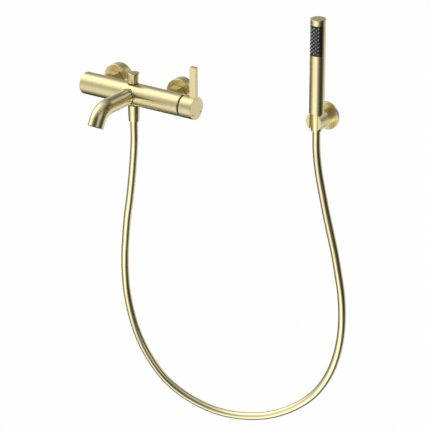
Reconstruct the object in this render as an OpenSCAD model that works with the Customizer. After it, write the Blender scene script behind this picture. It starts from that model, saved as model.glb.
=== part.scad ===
// Wall-mounted bath and shower mixer with a hand shower, its hose and a wall holder.
// Millimetres. +X is right, +Y is into the wall, +Z is up.
// The origin lies on the wall plane, midway between the two wall threads.

/* [Wall connections] */
// Distance between the two inlets
inlet_pitch = 150; // [140:1:160]
// Distance from the wall to the axis of the body
wall_to_axis = 68.5; // [66:0.5:90]
// Height of the wall threads above the axis of the body
eccentric_offset = 8; // [4:0.5:12]
// Diameter of the wall threads
wall_thread_d = 20.95; // [20.8:0.05:21.1]
// Length of the wall threads behind the wall plane
wall_thread_len = 15; // [10:1:22]
// Bore of the eccentric unions
eccentric_bore = 13; // [10:0.5:14]
// Diameter of the union threads
union_thread_d = 26.4; // [26:0.1:27]
// Width of the union nuts across their flats
union_nut_af = 30; // [29.5:0.5:36]
// Length of the union nuts
union_nut_len = 18; // [16:0.5:20]
// Diameter of the inlet rosettes
rosette_d = 58; // [54:1:75]
// Depth of the inlet rosettes
rosette_depth = 18; // [15:0.5:18]
// Wall of the inlet rosettes
rosette_wall = 2; // [1.5:0.1:3]

/* [Body] */
// Diameter of the body
body_d = 44; // [43:0.5:50]
// Length of the body, without the handle
body_len = 231; // [220:1:260]
// Shift of the middle of the body to the right of the inlets' middle
body_shift = 4.5; // [0:0.5:10]
// Rounding of the closed left end
body_edge = 2.5; // [1:0.5:5]

/* [Handle] */
// Gap between the body and the handle cap
handle_gap = 3.4; // [3.2:0.1:5]
// Length of the handle cap
cap_len = 28; // [26:0.5:34]
// Wall of the handle cap
cap_wall = 2.5; // [2:0.1:3]
// End wall of the handle cap
cap_end_wall = 3; // [2.5:0.1:4]
// Distance from the inner rim of the cap to the tilt pin
pivot_inset = 16; // [15:0.5:16.5]
// Width of the lever along the body
lever_w = 13.5; // [11:0.5:15]
// Thickness of the lever
lever_t = 8; // [5:0.5:10]
// Height of the lever above the cap
lever_rise = 60; // [40:1:75]
// Rounding of the lever's top corners
lever_round = 1.6; // [0.5:0.1:3]
// Diameter of the index dots
dot_d = 2.6; // [2:0.1:4]

/* [Cartridge] */
// Diameter of the cartridge housing
cartridge_d = 25; // [24.5:0.1:25.5]
// Diameter of the rotor shaft
rotor_d = 19.2; // [18.5:0.1:19.4]
// Diameter of the tilt pin
tilt_pin_d = 3; // [2.5:0.1:3.2]
// Reach of the stem from the tilt pin to its ball
stem_reach = 17; // [16.5:0.1:17.3]

/* [Spout] */
// Diameter of the spout
spout_d = 31; // [28:0.5:34]
// Wall of the spout
spout_wall = 2.2; // [1.5:0.1:3]
// Straight run of the spout, from the axis of the body to the bend
spout_run = 85.5; // [60:0.5:120]
// Radius of the bend, along the middle of the tube
spout_bend_r = 36.5; // [30:0.5:50]
// Angle of the bend
spout_bend = 60; // [45:1:85]
// Straight tail after the bend
spout_tail = 13.5; // [12:0.5:30]

/* [Diverter] */
// Diameter of the knob's stem
knob_d = 19.4; // [18:0.2:21]
// Diameter of the knob's lip
knob_lip_d = 22.6; // [22:0.2:26]
// Thickness of the knob's lip
knob_lip = 3.4; // [2:0.1:5]
// Top of the knob above the axis of the body
knob_top = 44.2; // [42:0.2:50]
// Diameter of the spindle
spindle_d = 6; // [5:0.2:6.4]
// Lift of the knob
knob_lift = 8; // [6:0.5:8]

/* [Hose] */
// Diameter of the hose
hose_d = 15; // [14:0.5:17]
// Larger diameter of the conical hose nuts
hose_nut_d = 23.4; // [23:0.1:25]
// Smaller diameter of the conical hose nuts
hose_nut_small_d = 21; // [20.5:0.1:22]
// Length of the hose nuts
hose_nut_len = 33; // [30:0.5:40]
// Diameter of the hose threads
hose_thread_d = 20.8; // [20.6:0.05:20.95]

/* [Handset] */
// Diameter of the handset
handset_d = 29; // [27:0.5:33]
// Length of the handset
handset_len = 183.5; // [150:0.5:240]
// Wall of the handset tube
handset_wall = 1.5; // [1:0.1:2]
// Length of the spray panel
panel_len = 58; // [54:1:70]
// Distance from the top of the handset to the spray panel
panel_inset = 11; // [8:0.5:20]
// Half the angle that the spray panel spans
panel_half_angle = 66; // [50:1:80]
// Rows of nozzles in the longer columns
nozzle_rows = 8; // [5:1:8]
// Distance between nozzle rows
nozzle_pitch = 7; // [6:0.1:7]
// Angle between nozzle columns
nozzle_step = 17.5; // [15:0.5:20]
// Diameter of the nozzles
nozzle_d = 3; // [2:0.1:3.2]

/* [Holder] */
// Distance of the holder to the right of the inlets' middle
holder_x = 399; // [380:1:420]
// Height of the holder's axis above the wall threads
holder_z = 10; // [5:1:15]
// Diameter of the holder's arm
arm_d = 34; // [33:0.5:38]
// Reach of the arm from the wall
arm_reach = 47; // [45:0.5:60]
// Distance from the front of the arm to the handset's axis
seat_inset = 11; // [10:0.5:13]
// Height of the handset's foot above the arm's axis
foot_height = 15; // [14:0.5:16.5]
// Width of the slot at the front of the arm
slot_w = 18.5; // [17:0.5:19.5]
// Diameter of the holder's rosette
holder_rosette_d = 54.5; // [48:0.5:60]
// Thickness of the holder's rosette
holder_rosette_t = 4; // [3:0.5:8]
// Diameter of the stub that carries the arm
stub_d = 23; // [20:0.5:25]
// Length of the wall screw behind the wall plane
wall_screw_len = 28; // [20:1:30]

/* [Fits] */
// Radial clearance of threads and other still fits
still_fit = 0.1; // [0.05:0.01:0.15]
// Radial clearance of pins and shafts that turn or slide
run_fit = 0.06; // [0.03:0.01:0.1]
// Clearance between pieces that move past each other
free_gap = 0.3; // [0.2:0.05:0.35]

/* [Hidden] */

$fn = 64;
eps = 1;

// Finishes
gold = [0.83, 0.72, 0.47];
raw_brass = [0.71, 0.60, 0.33];
steel = [0.70, 0.71, 0.72];
black = [0.10, 0.10, 0.11];
pale = [0.78, 0.78, 0.76];
grey = [0.55, 0.55, 0.55];
ceramic = [0.93, 0.92, 0.88];
seal_black = [0.07, 0.07, 0.07];
hot_red = [0.60, 0.20, 0.15];
cold_blue = [0.18, 0.28, 0.55];

// Body and its ends
body_r = body_d / 2;
axis_z = -eccentric_offset;
body_left = body_shift - body_len / 2;
body_right = body_shift + body_len / 2;
outlet_x = body_shift;
rim_chamfer = 0.6;

// Inlet chain from the wall to the body, as places along Y
nut_gap = 1;
nut_back_y = -rosette_depth - nut_gap;
nut_front_y = nut_back_y - union_nut_len;
nut_lip = 1.4;
union_r = union_thread_d / 2;
neck_r = union_r - 3;
flange_r = union_r - free_gap;
flange_t = 2.6;
flange_front_y = nut_front_y + nut_lip + still_fit;
washer_front_y = flange_front_y + flange_t;
washer_t = 2;
union_front_y = washer_front_y + washer_t;
union_back_y = -rosette_wall - 7;
wall_thread_r = wall_thread_d / 2;
lump_r = wall_thread_r + eccentric_offset / 2;
lump_t = 5;
rear_y = -wall_to_axis + body_r;
inlet_boss_y = rear_y + 2;
inlet_boss_r = union_r + 0.4;
nipple_thread_r = neck_r - 0.8;
nipple_depth = 13;
nipple_bore_r = nipple_thread_r - 3;
valve_len = 12;
duct_r = 2.4;
duct_lead = 14;
duct_pass = 8;

// Cartridge chain along X, from the tilt pin inwards
cap_in = body_right + handle_gap;
cap_out = cap_in + cap_len;
cap_bore_r = body_r - cap_wall;
pivot_x = cap_in + pivot_inset;
ball_r = 2.5;
ball_x = pivot_x - stem_reach;
socket_r = ball_r + free_gap;
rotor_r = rotor_d / 2;
rotor_end = pivot_x + tilt_pin_d / 2 + 1.9;
cartridge_r = cartridge_d / 2;
cartridge_bore_r = cartridge_r - 1.3;
skirt_r = cartridge_bore_r - run_fit;
carrier_r = 6.5;
carrier_flat = 12;
carrier_out = ball_x + 2.1;
carrier_in = ball_x - 9.9;
web_x = carrier_out + free_gap;
web_t = 1.3;
skirt_in = carrier_in + free_gap;
neck_x = web_x + web_t + run_fit;
neck_t = 2.8;
moving_disc_t = 3.4;
moving_disc_x = carrier_in - moving_disc_t;
fixed_disc_t = 3.9;
fixed_disc_x = moving_disc_x - run_fit - fixed_disc_t;
base_t = 3.6;
base_x = fixed_disc_x - still_fit - base_t;
seal_t = 1.4;
pocket_x = base_x - seal_t;
shoulder_x = pocket_x + 4;
port_r = cartridge_bore_r / 2;
collar_r = cartridge_r + 2;
collar_t = 3;
gland_bore_r = cartridge_r + 3.5;
gland_len = 7.5;
gland_x = shoulder_x + collar_t;
recess_x = gland_x + gland_len - 1.5;
recess_r = body_r - 2.6;
stem_t = 6.8;
stem_h = 7;
stem_neck_r = 2;
slot_gap = 0.15;
hub_r = 7.5;
hub_len = 3;
hub_x = cap_out - cap_end_wall - hub_len;
stem_end = cap_out - cap_end_wall + 0.8;
handle_screw_r = 1.25;
handle_screw_x = hub_x + hub_len / 2 + 0.4;

// Lever and its pocket in the cap
lever_top = body_r + lever_rise;
lever_root = body_r - 6.5;
lever_left = cap_out - lever_w;
pocket_w = 3.5;
pocket_z = body_r - 1.8;
dot_y = 13.1;
dot_z = -9.6;
dot_t = 0.6;

// Spout joint
spout_r = spout_d / 2;
spout_bore_r = spout_r - spout_wall;
boss_r = spout_r;
boss_end = body_r + 1.2;
joint_gap = 1.4;
spout_start = boss_end + joint_gap;
spigot_r = spout_r - 4.2;
spigot_len = 12;
spigot_bore_r = spigot_r - 2.5;
shoulder_t = 3;
weld = 0.05;
seal_ring_r = 0.8;
seal_ring_y = spout_start - spigot_len + 3;
spout_screw_r = 2;
spout_screw_y = spout_start - 4.5;
aerator_len = 9;
aerator_bore_r = spout_bore_r - 1.8;

// Diverter, as heights above the axis of the body
top_face = body_r - 3;
bottom_face = body_r - 1.5;
bonnet_thread_r = 9.1;
bonnet_thread_len = 10;
bonnet_low = top_face - bonnet_thread_len;
bonnet_collar_r = 10.4;
bonnet_collar = 2.2;
gland_tube_r = knob_d / 2 - 2.6;
spot_r = knob_lip_d / 2;
knob_low = top_face + bonnet_collar + 1.8;
gland_top = knob_low + knob_lift + 1;
knob_r = knob_d / 2;
knob_dome = 0.8;
dome_edge_r = knob_lip_d / 2 - 1.3;
dome_r = (pow(dome_edge_r, 2) + pow(knob_dome, 2)) / (2 * knob_dome);
knob_hollow_r = gland_tube_r + free_gap;
knob_hollow_depth = 11;
knob_hollow_top = knob_low + knob_hollow_depth;
spindle_r = spindle_d / 2;
spindle_top = knob_hollow_top + 5;
chamber_r = 8;
valve_r = chamber_r - free_gap;
valve_t = 4;
valve_low = -9;
valve_top = valve_low + valve_t;
spindle_nut_r = 4.6;
spindle_nut_t = 1.6;
outlet_top = valve_low - run_fit;
spring_r = 5;
spring_wire_r = 0.4;
spring_turns = 5;
spindle_seal_r = 1;

// Hose ends
hose_r = hose_d / 2;
hose_thread_r = hose_thread_d / 2;
hose_thread_len = 13;
outlet_collar_r = hose_thread_r + 0.5;
outlet_collar = 0.9;
outlet_spot_r = hose_nut_d / 2 + free_gap;
outlet_bore_r = 7;
nut_start_gap = 0.6;
hose_washer_t = 2;
hose_washer_r = hose_thread_r - 0.4;
tail_flange_t = 3;
lower_nut_z = axis_z - bottom_face - outlet_collar - nut_start_gap;
lower_hose_z = lower_nut_z - hose_nut_len;

// Holder and handset
arm_r = arm_d / 2;
seat_y = -(arm_reach - seat_inset);
foot_z = holder_z + foot_height;
upper_nut_z = foot_z - nut_start_gap;
upper_hose_z = upper_nut_z - hose_nut_len;
handset_r = handset_d / 2;
handset_bore_r = handset_r - handset_wall;
handset_top_z = foot_z + handset_len;
handset_cap = 3;
foot_chamfer = 1.2;
panel_high_z = handset_top_z - panel_inset;
panel_low_z = panel_high_z - panel_len;
panel_recess = 0.2;
panel_t = 2.4;
panel_r = handset_r - panel_recess;
panel_in_r = panel_r - panel_t;
mat_t = 1.3;
mat_r = panel_in_r - still_fit;
mat_in_r = mat_r - mat_t;
nozzle_proud = 0.7;
core_r = mat_in_r - still_fit;
core_bore_r = core_r - 3;
core_tube_r = 7;
inlet_plug_len = 14;
foot_r = handset_r + free_gap + 0.2;
socket_depth = 12;
stub_r = stub_d / 2;
stub_len = holder_rosette_t + socket_depth - free_gap;
holder_screw_r = 2.5;
wall_screw_r = 2.5;
wall_plug_r = 4;
screw_head_r = 4.6;
screw_head_t = 3;

// Route of the hose between its two nuts, as places right of the outlet and heights
hose_route = [
    [0, -106], [-3, -147], [-7, -187], [-12, -227], [-18, -267], [-22, -307],
    [-25, -348], [-25, -388], [-22, -428], [-14, -469], [-2, -508], [16, -545],
    [40, -578], [68, -605], [102, -625], [139, -638], [178, -645], [219, -645],
    [260, -638], [299, -626], [336, -607], [369, -584], [398, -556], [421, -523],
    [438, -487], [449, -449], [455, -409], [456, -369], [453, -329], [446, -289],
    [438, -249], [428, -209], [418, -169], [409, -129], [401, -90], [396, -50]
];
route_span = 395;
hose_sides = 12;

function unit(v) = v / norm(v);

// The hose hangs in the upright plane through its two ends.
hose_step = [holder_x - outlet_x, wall_to_axis + seat_y, 0] / route_span;
hose_points = concat(
    [[outlet_x, -wall_to_axis, lower_hose_z]],
    [for (p = hose_route) [outlet_x, -wall_to_axis, p[1]] + p[0] * hose_step],
    [[holder_x, seat_y, upper_hose_z]]
);
function hose_direction(i) =
    i == 0 ? [0, 0, -1] :
    i == len(hose_points) - 1 ? [0, 0, 1] :
    unit(hose_points[i + 1] - hose_points[i - 1]);

// Each ring is its middle and the two directions that span it.
hose_across = unit(cross([0, 0, 1], hose_step));
hose_rings = [for (i = [0 : len(hose_points) - 1])
    [hose_points[i], hose_across, cross(hose_direction(i), hose_across)]];

// A round closed tube through a list of rings
module swept_tube(rings, r, sides) {
    last = len(rings) - 1;
    points = [for (ring = rings) for (k = [0 : sides - 1])
        ring[0] + r * (cos(360 * k / sides) * ring[1] + sin(360 * k / sides) * ring[2])];
    walls = [for (i = [0 : last - 1]) for (k = [0 : sides - 1])
        let (a = i * sides + k, b = i * sides + (k + 1) % sides)
        each [[a, a + sides, b], [b, a + sides, b + sides]]];
    first_cap = [for (k = [1 : sides - 2]) [0, k, k + 1]];
    last_cap = [for (k = [1 : sides - 2]) [last * sides, last * sides + k + 1, last * sides + k]];
    polyhedron(points, concat(walls, first_cap, last_cap));
}

// Round bars along each direction
module rod_x(x0, x1, r) {
    translate([x0, 0, 0]) rotate([0, 90, 0]) cylinder(h = x1 - x0, r = r);
}

module rod_y(y0, y1, r) {
    translate([0, y1, 0]) rotate([90, 0, 0]) cylinder(h = y1 - y0, r = r);
}

module rod_z(z0, z1, r) {
    translate([0, 0, z0]) cylinder(h = z1 - z0, r = r);
}

// A ring along Z
module ring_z(z0, z1, r, bore_r) {
    difference() {
        rod_z(z0, z1, r);
        rod_z(z0 - eps, z1 + eps, bore_r);
    }
}

// Half the section of a bar with a rounded edge at its far end
module rounded_half(r, h, edge) {
    square([r - edge, h]);
    square([r, h - edge]);
    translate([r - edge, h - edge]) circle(edge);
}

// A closed ring of round wire, around Z
module wire_ring(ring_r, wire_r) {
    rotate_extrude() translate([ring_r, 0]) circle(wire_r);
}

// Frames for the pieces
module at_axis() {
    translate([0, -wall_to_axis, axis_z]) children();
}

module at_outlet() {
    translate([outlet_x, -wall_to_axis, axis_z]) children();
}

module at_inlet(side) {
    translate([side * inlet_pitch / 2, 0, axis_z]) children();
}

module at_handset() {
    translate([holder_x, seat_y, 0]) children();
}

module at_holder() {
    translate([holder_x, 0, holder_z]) children();
}

// The body bar with its bosses, before any bore
module body_bar() {
    rod_x(body_left + body_edge, body_right - rim_chamfer, body_r);
    translate([body_right - rim_chamfer, 0, 0]) rotate([0, 90, 0])
        cylinder(h = rim_chamfer, r1 = body_r, r2 = body_r - rim_chamfer);
    rod_x(body_left, body_left + 2 * body_edge, body_r - body_edge);
    translate([body_left + body_edge, 0, 0]) rotate([0, 90, 0])
        wire_ring(body_r - body_edge, body_edge);
    translate([outlet_x, 0, 0]) rotate([90, 0, 0])
        rotate_extrude() rounded_half(boss_r, boss_end, rim_chamfer);
    for (side = [-1, 1])
        translate([side * inlet_pitch / 2, 0, 0])
            rod_y(0, inlet_boss_y + wall_to_axis, inlet_boss_r);
}

module cartridge_chamber() {
    rod_x(pocket_x, body_right + eps, cartridge_r + still_fit);
    rod_x(shoulder_x, body_right + eps, gland_bore_r + still_fit);
    rod_x(recess_x, body_right + eps, recess_r);
}

module diverter_bores() {
    translate([outlet_x, 0, 0]) {
        rod_z(top_face, body_r + eps, spot_r + still_fit);
        rod_z(bonnet_low, body_r, bonnet_thread_r + still_fit);
        rod_z(outlet_top, bonnet_low, chamber_r);
        rod_z(-body_r, outlet_top, hose_thread_r + still_fit);
        rod_z(-body_r - eps, -bottom_face, outlet_spot_r);
    }
}

module spout_socket() {
    translate([outlet_x, 0, 0]) {
        rod_y(-boss_end - eps, -spout_start + spigot_len + still_fit, spigot_r + still_fit);
        rod_y(-spout_start, 0, spigot_bore_r - 1.5);
        translate([0, -spout_screw_y, 0])
            rod_z(-boss_r - eps, -spigot_r + 0.5, spout_screw_r + still_fit);
    }
}

// The three ports of the cartridge open at the bottom of its pocket.
function port(turn) = [pocket_x + eps, -port_r * sin(turn), port_r * cos(turn)];

// A straight duct between two points, with round ends
module duct(from, to) {
    way = to - from;
    translate(from) rotate([0, acos(way[2] / norm(way)), atan2(way[1], way[0])])
        cylinder(h = norm(way), r = duct_r);
    translate(from) sphere(duct_r + 0.3);
}

// Hot water passes below the right inlet, and mixed water goes back to the diverter.
module waterways() {
    hot_low = [body_r * 0.57, -body_r * 0.6];
    hot_start = [-inlet_pitch / 2 + duct_lead, hot_low[0], hot_low[1]];
    hot_turn = [inlet_pitch / 2 + duct_pass, hot_low[0], hot_low[1]];
    duct([-inlet_pitch / 2, body_r / 2, 0], hot_start);
    duct(hot_start, hot_turn);
    duct(hot_turn, port(240));
    duct([inlet_pitch / 2, body_r * 0.45, 0], port(0));
    translate([0, port(120)[1], port(120)[2]]) rod_x(outlet_x, pocket_x + eps, duct_r + 0.8);
    for (side = [-1, 1])
        translate([side * inlet_pitch / 2, 0, 0])
            rod_y(body_r / 3, inlet_boss_y + wall_to_axis + eps, nipple_bore_r);
    for (side = [-1, 1])
        translate([side * inlet_pitch / 2, 0, 0])
            rod_y(inlet_boss_y + wall_to_axis - nipple_depth, inlet_boss_y + wall_to_axis + eps,
                  nipple_thread_r + still_fit);
}

module mixer_body() {
    color(gold) at_axis() difference() {
        body_bar();
        cartridge_chamber();
        diverter_bores();
        spout_socket();
        waterways();
    }
}

// The spout's run, bend and tail
module spout_tube() {
    difference() {
        rod_y(-spout_run - weld, -spout_start, spout_r);
        rod_y(-spout_run - eps, -spout_start - shoulder_t, spout_bore_r);
    }
    translate([0, -spout_run, -spout_bend_r]) rotate([0, -90, 0]) rotate([0, 0, -spout_bend])
        rotate_extrude(angle = spout_bend) translate([spout_bend_r, 0]) difference() {
            circle(spout_r - weld);
            circle(spout_bore_r + weld);
        }
    at_spout_tail() ring_z(-weld, spout_tail, spout_r, spout_bore_r);
}

module at_spout_tail() {
    translate([0, -spout_run - spout_bend_r * sin(spout_bend), spout_bend_r * (cos(spout_bend) - 1)])
        rotate([90 + spout_bend, 0, 0]) children();
}

module spout() {
    color(gold) at_outlet() difference() {
        union() {
            spout_tube();
            rod_y(-spout_start, -spout_start + spigot_len, spigot_r);
        }
        rod_y(-spout_start - shoulder_t - eps, -spout_start + spigot_len + eps, spigot_bore_r);
        translate([0, -seal_ring_y, 0]) rotate([90, 0, 0])
            rotate_extrude() translate([spigot_r - 2 * seal_ring_r, -seal_ring_r])
                square([3 * seal_ring_r, 2 * seal_ring_r]);
        translate([0, -spout_screw_y, 0]) rod_z(-spigot_r - eps, -spigot_r + 1, spout_screw_r + still_fit);
    }
}

module spout_seal() {
    color(seal_black) at_outlet() translate([0, -seal_ring_y, 0]) rotate([90, 0, 0])
        wire_ring(spigot_r - seal_ring_r, seal_ring_r - still_fit / 2);
}

module spout_grub_screw() {
    color(steel) at_outlet() translate([0, -spout_screw_y, 0]) difference() {
        rod_z(-boss_r + 1, -spigot_r + 1 - still_fit, spout_screw_r);
        translate([0, 0, -boss_r + 1]) cylinder(h = 2, r = spout_screw_r / 2, $fn = 6);
    }
}

module aerator_housing() {
    color(gold) at_outlet() at_spout_tail() difference() {
        rod_z(spout_tail - aerator_len, spout_tail - still_fit, spout_bore_r - still_fit);
        rod_z(spout_tail - aerator_len - eps, spout_tail + eps, aerator_bore_r);
        for (k = [0 : 3])
            rotate([0, 0, 90 * k]) translate([spout_bore_r, 0, spout_tail])
                cube([2.4, 4, 3], center = true);
    }
}

module aerator_insert() {
    color(pale) at_outlet() at_spout_tail() difference() {
        rod_z(spout_tail - aerator_len + 1, spout_tail - 2.5, aerator_bore_r - still_fit);
        for (turn = [0 : 60 : 300], place = [4, 8])
            rotate([0, 0, turn + 4 * place]) translate([place, 0, spout_tail - aerator_len])
                cylinder(h = aerator_len, r = 1.2);
    }
}

// Inlet pieces, the same on both sides
module eccentric_union(side) {
    color(raw_brass) at_inlet(side) difference() {
        union() {
            rod_y(union_front_y, union_back_y + lump_t, union_r);
            translate([0, 0, eccentric_offset / 2]) rod_y(union_back_y, union_back_y + lump_t, lump_r);
            translate([0, 0, eccentric_offset]) rod_y(union_back_y, wall_thread_len, wall_thread_r);
        }
        rod_y(union_front_y - eps, union_back_y + lump_t / 2, eccentric_bore / 2);
        translate([0, 0, eccentric_offset])
            rod_y(union_back_y + lump_t / 4, wall_thread_len + eps, eccentric_bore / 2);
    }
}

module rosette(side) {
    color(gold) at_inlet(side) difference() {
        rotate([90, 0, 0]) rotate_extrude() rounded_half(rosette_d / 2, rosette_depth, 1.2);
        rod_y(-rosette_depth + rosette_wall, eps, rosette_d / 2 - rosette_wall);
        rod_y(-rosette_depth - eps, 0, union_r + still_fit);
    }
}

module union_nut(side) {
    nut_corner = union_nut_af / sqrt(3);
    color(gold) at_inlet(side) difference() {
        intersection() {
            translate([0, nut_back_y, 0]) rotate([90, 0, 0]) cylinder(h = union_nut_len, r = nut_corner, $fn = 6);
            translate([0, nut_back_y, 0]) rotate([90, 0, 0])
                cylinder(h = union_nut_len, r1 = nut_corner + 5, r2 = nut_corner - 0.8);
        }
        rod_y(nut_front_y + nut_lip, nut_back_y + eps, union_r + still_fit);
        rod_y(nut_front_y - eps, nut_back_y, neck_r + still_fit);
    }
}

module inlet_nipple(side) {
    color(raw_brass) at_inlet(side) difference() {
        union() {
            rod_y(inlet_boss_y - nipple_depth + still_fit, inlet_boss_y, nipple_thread_r);
            rod_y(inlet_boss_y, washer_front_y, neck_r);
            rod_y(flange_front_y, washer_front_y, flange_r);
        }
        rod_y(inlet_boss_y - nipple_depth - eps, washer_front_y + eps, nipple_bore_r);
    }
}

module union_washer(side) {
    color(seal_black) at_inlet(side) difference() {
        rod_y(washer_front_y, union_front_y, flange_r);
        rod_y(washer_front_y - eps, union_front_y + eps, eccentric_bore / 2);
    }
}

module check_valve(side) {
    valve_back_y = washer_front_y - 1;
    color(pale) at_inlet(side) difference() {
        rod_y(valve_back_y - valve_len, valve_back_y, nipple_bore_r - still_fit);
        for (turn = [0 : 90 : 270])
            rotate([0, turn, 0]) translate([nipple_bore_r / 2, 0, 0])
                rod_y(valve_back_y - valve_len - eps, valve_back_y + eps, nipple_bore_r / 4);
    }
}

// Cartridge, from the base to the stem
module cartridge_seal() {
    color(seal_black) at_axis() difference() {
        rod_x(pocket_x, base_x, cartridge_r - 0.6);
        rod_x(pocket_x - eps, base_x + eps, cartridge_r - 3);
    }
}

module cartridge_base() {
    color(pale) at_axis() difference() {
        rod_x(base_x, base_x + base_t, cartridge_bore_r - still_fit);
        for (turn = [0, 120, 240])
            rotate([turn, 0, 0]) translate([0, 0, port_r])
                rod_x(base_x - eps, base_x + base_t + eps, 2.6);
    }
}

module fixed_disc() {
    color(ceramic) at_axis() difference() {
        rod_x(fixed_disc_x, fixed_disc_x + fixed_disc_t, cartridge_bore_r - still_fit);
        for (turn = [0, 120, 240])
            rotate([turn, 0, 0]) translate([0, 0, port_r])
                rod_x(fixed_disc_x - eps, fixed_disc_x + fixed_disc_t + eps, 2.2);
    }
}

module moving_disc() {
    color(ceramic) at_axis() difference() {
        rod_x(moving_disc_x, moving_disc_x + moving_disc_t, carrier_r);
        rod_x(moving_disc_x - eps, moving_disc_x + moving_disc_t / 2, carrier_r / 2);
    }
}

module disc_carrier() {
    color(pale) at_axis() difference() {
        intersection() {
            rod_x(carrier_in, carrier_out, carrier_r);
            translate([carrier_in, -carrier_flat / 2, -carrier_r])
                cube([carrier_out - carrier_in, carrier_flat, 2 * carrier_r]);
        }
        rod_x(ball_x - ball_r - 1, carrier_out + eps, socket_r);
    }
}

module cartridge_housing() {
    color(pale) at_axis() difference() {
        union() {
            rod_x(base_x, neck_x + neck_t, cartridge_r);
            rod_x(shoulder_x, shoulder_x + collar_t, collar_r);
        }
        rod_x(base_x - eps, neck_x, cartridge_bore_r);
        rod_x(neck_x - eps, neck_x + neck_t + eps, rotor_r + run_fit);
    }
}

module retaining_nut() {
    color(raw_brass) at_axis() difference() {
        rod_x(gland_x, gland_x + gland_len, gland_bore_r);
        rod_x(gland_x - eps, gland_x + gland_len + eps, cartridge_r + still_fit);
        for (turn = [0 : 60 : 300])
            rotate([turn, 0, 0]) translate([gland_x + gland_len, 0, gland_bore_r])
                cube([4, 4, 3], center = true);
    }
}

module rotor() {
    slot_low = stem_h / 2 + 1.4;
    color(black) at_axis() difference() {
        union() {
            rod_x(skirt_in, web_x + web_t, skirt_r);
            rod_x(web_x, rotor_end, rotor_r);
        }
        translate([skirt_in - eps, -carrier_flat / 2 - run_fit, -skirt_r - eps])
            cube([web_x - skirt_in + eps, carrier_flat + 2 * run_fit, 2 * (skirt_r + eps)]);
        translate([web_x - eps, -stem_t / 2 - slot_gap, -slot_low])
            cube([rotor_end - web_x + 2 * eps, stem_t + 2 * slot_gap, slot_low + skirt_r + eps]);
        translate([pivot_x, 0, 0]) rod_y(-rotor_r - eps, rotor_r + eps, tilt_pin_d / 2 + run_fit);
    }
}

module tilt_pin() {
    color(steel) at_axis() translate([pivot_x, 0, 0])
        rod_y(-rotor_r + 0.4, rotor_r - 0.4, tilt_pin_d / 2);
}

module lever_stem() {
    color(steel) at_axis() difference() {
        union() {
            translate([pivot_x - 6, -stem_t / 2, -stem_h / 2]) cube([stem_end - pivot_x + 6, stem_t, stem_h]);
            rod_x(ball_x, pivot_x - 5, stem_neck_r);
            translate([ball_x, 0, 0]) sphere(ball_r);
        }
        translate([pivot_x, 0, 0]) rod_y(-stem_t, stem_t, tilt_pin_d / 2 + run_fit);
    }
}

// Handle
module cap_shell() {
    translate([cap_in, 0, 0]) rotate([0, 90, 0])
        cylinder(h = rim_chamfer, r1 = body_r - rim_chamfer, r2 = body_r);
    translate([cap_in + rim_chamfer, 0, 0]) rotate([0, 90, 0])
        rotate_extrude() rounded_half(body_r, cap_len - rim_chamfer, 0.4);
}

module handle_cap() {
    color(gold) at_axis() difference() {
        cap_shell();
        difference() {
            rod_x(cap_in - eps, cap_out - cap_end_wall, cap_bore_r);
            rod_x(hub_x, cap_out, hub_r);
        }
        translate([hub_x - eps, -stem_t / 2 - still_fit, -stem_h / 2 - still_fit])
            cube([stem_end + still_fit - hub_x + eps, stem_t + 2 * still_fit, stem_h + 2 * still_fit]);
        translate([handle_screw_x, 0, 0]) rod_z(-body_r - eps, 0, handle_screw_r + still_fit);
        translate([lever_left - pocket_w, -lever_t / 2 - still_fit, pocket_z])
            cube([pocket_w + lever_w, lever_t + 2 * still_fit, body_r]);
        translate([lever_left - still_fit, -lever_t / 2 - still_fit, lever_root - still_fit])
            cube([lever_w + eps, lever_t + 2 * still_fit, body_r]);
        for (side = [-1, 1])
            translate([0, side * dot_y, dot_z]) rod_x(cap_out - dot_t, cap_out + eps, dot_d / 2 + still_fit / 2);
    }
}

module lever_blade() {
    color(gold) at_axis() translate([lever_left, lever_t / 2, lever_root]) rotate([90, 0, 0])
        linear_extrude(lever_t) {
            square([lever_w, lever_top - lever_root - lever_round]);
            translate([lever_round, 0]) square([lever_w - 2 * lever_round, lever_top - lever_root]);
            for (x = [lever_round, lever_w - lever_round])
                translate([x, lever_top - lever_root - lever_round]) circle(lever_round);
        }
}

module handle_grub_screw() {
    color(steel) at_axis() translate([handle_screw_x, 0, 0]) difference() {
        rod_z(-hub_r - 2, -stem_h / 2 - still_fit, handle_screw_r);
        translate([0, 0, -hub_r - 2]) cylinder(h = 2.5, r = handle_screw_r / 2, $fn = 6);
    }
}

module hot_dot() {
    color(hot_red) at_axis() translate([0, -dot_y, dot_z]) rod_x(cap_out - dot_t, cap_out, dot_d / 2);
}

module cold_dot() {
    color(cold_blue) at_axis() translate([0, dot_y, dot_z]) rod_x(cap_out - dot_t, cap_out, dot_d / 2);
}

// Diverter
module diverter_bonnet() {
    color(raw_brass) at_outlet() difference() {
        union() {
            rod_z(bonnet_low, top_face, bonnet_thread_r);
            rod_z(top_face, top_face + bonnet_collar, bonnet_collar_r);
            rod_z(top_face, gland_top, gland_tube_r);
        }
        rod_z(bonnet_low - eps, gland_top + eps, spindle_r + run_fit);
        translate([0, 0, top_face]) rotate_extrude()
            translate([spindle_r, -spindle_seal_r]) square([2 * spindle_seal_r, 2 * spindle_seal_r]);
    }
}

module spindle_seal() {
    color(seal_black) at_outlet() translate([0, 0, top_face])
        wire_ring(spindle_r + spindle_seal_r, spindle_seal_r - still_fit);
}

module diverter_spindle() {
    color(steel) at_outlet() rod_z(valve_low - spindle_nut_t, spindle_top, spindle_r);
}

module diverter_valve() {
    color(seal_black) at_outlet() ring_z(valve_low, valve_top, valve_r, spindle_r + still_fit);
}

module spindle_nut() {
    color(raw_brass) at_outlet() ring_z(valve_low - spindle_nut_t, valve_low, spindle_nut_r, spindle_r + still_fit);
}

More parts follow.
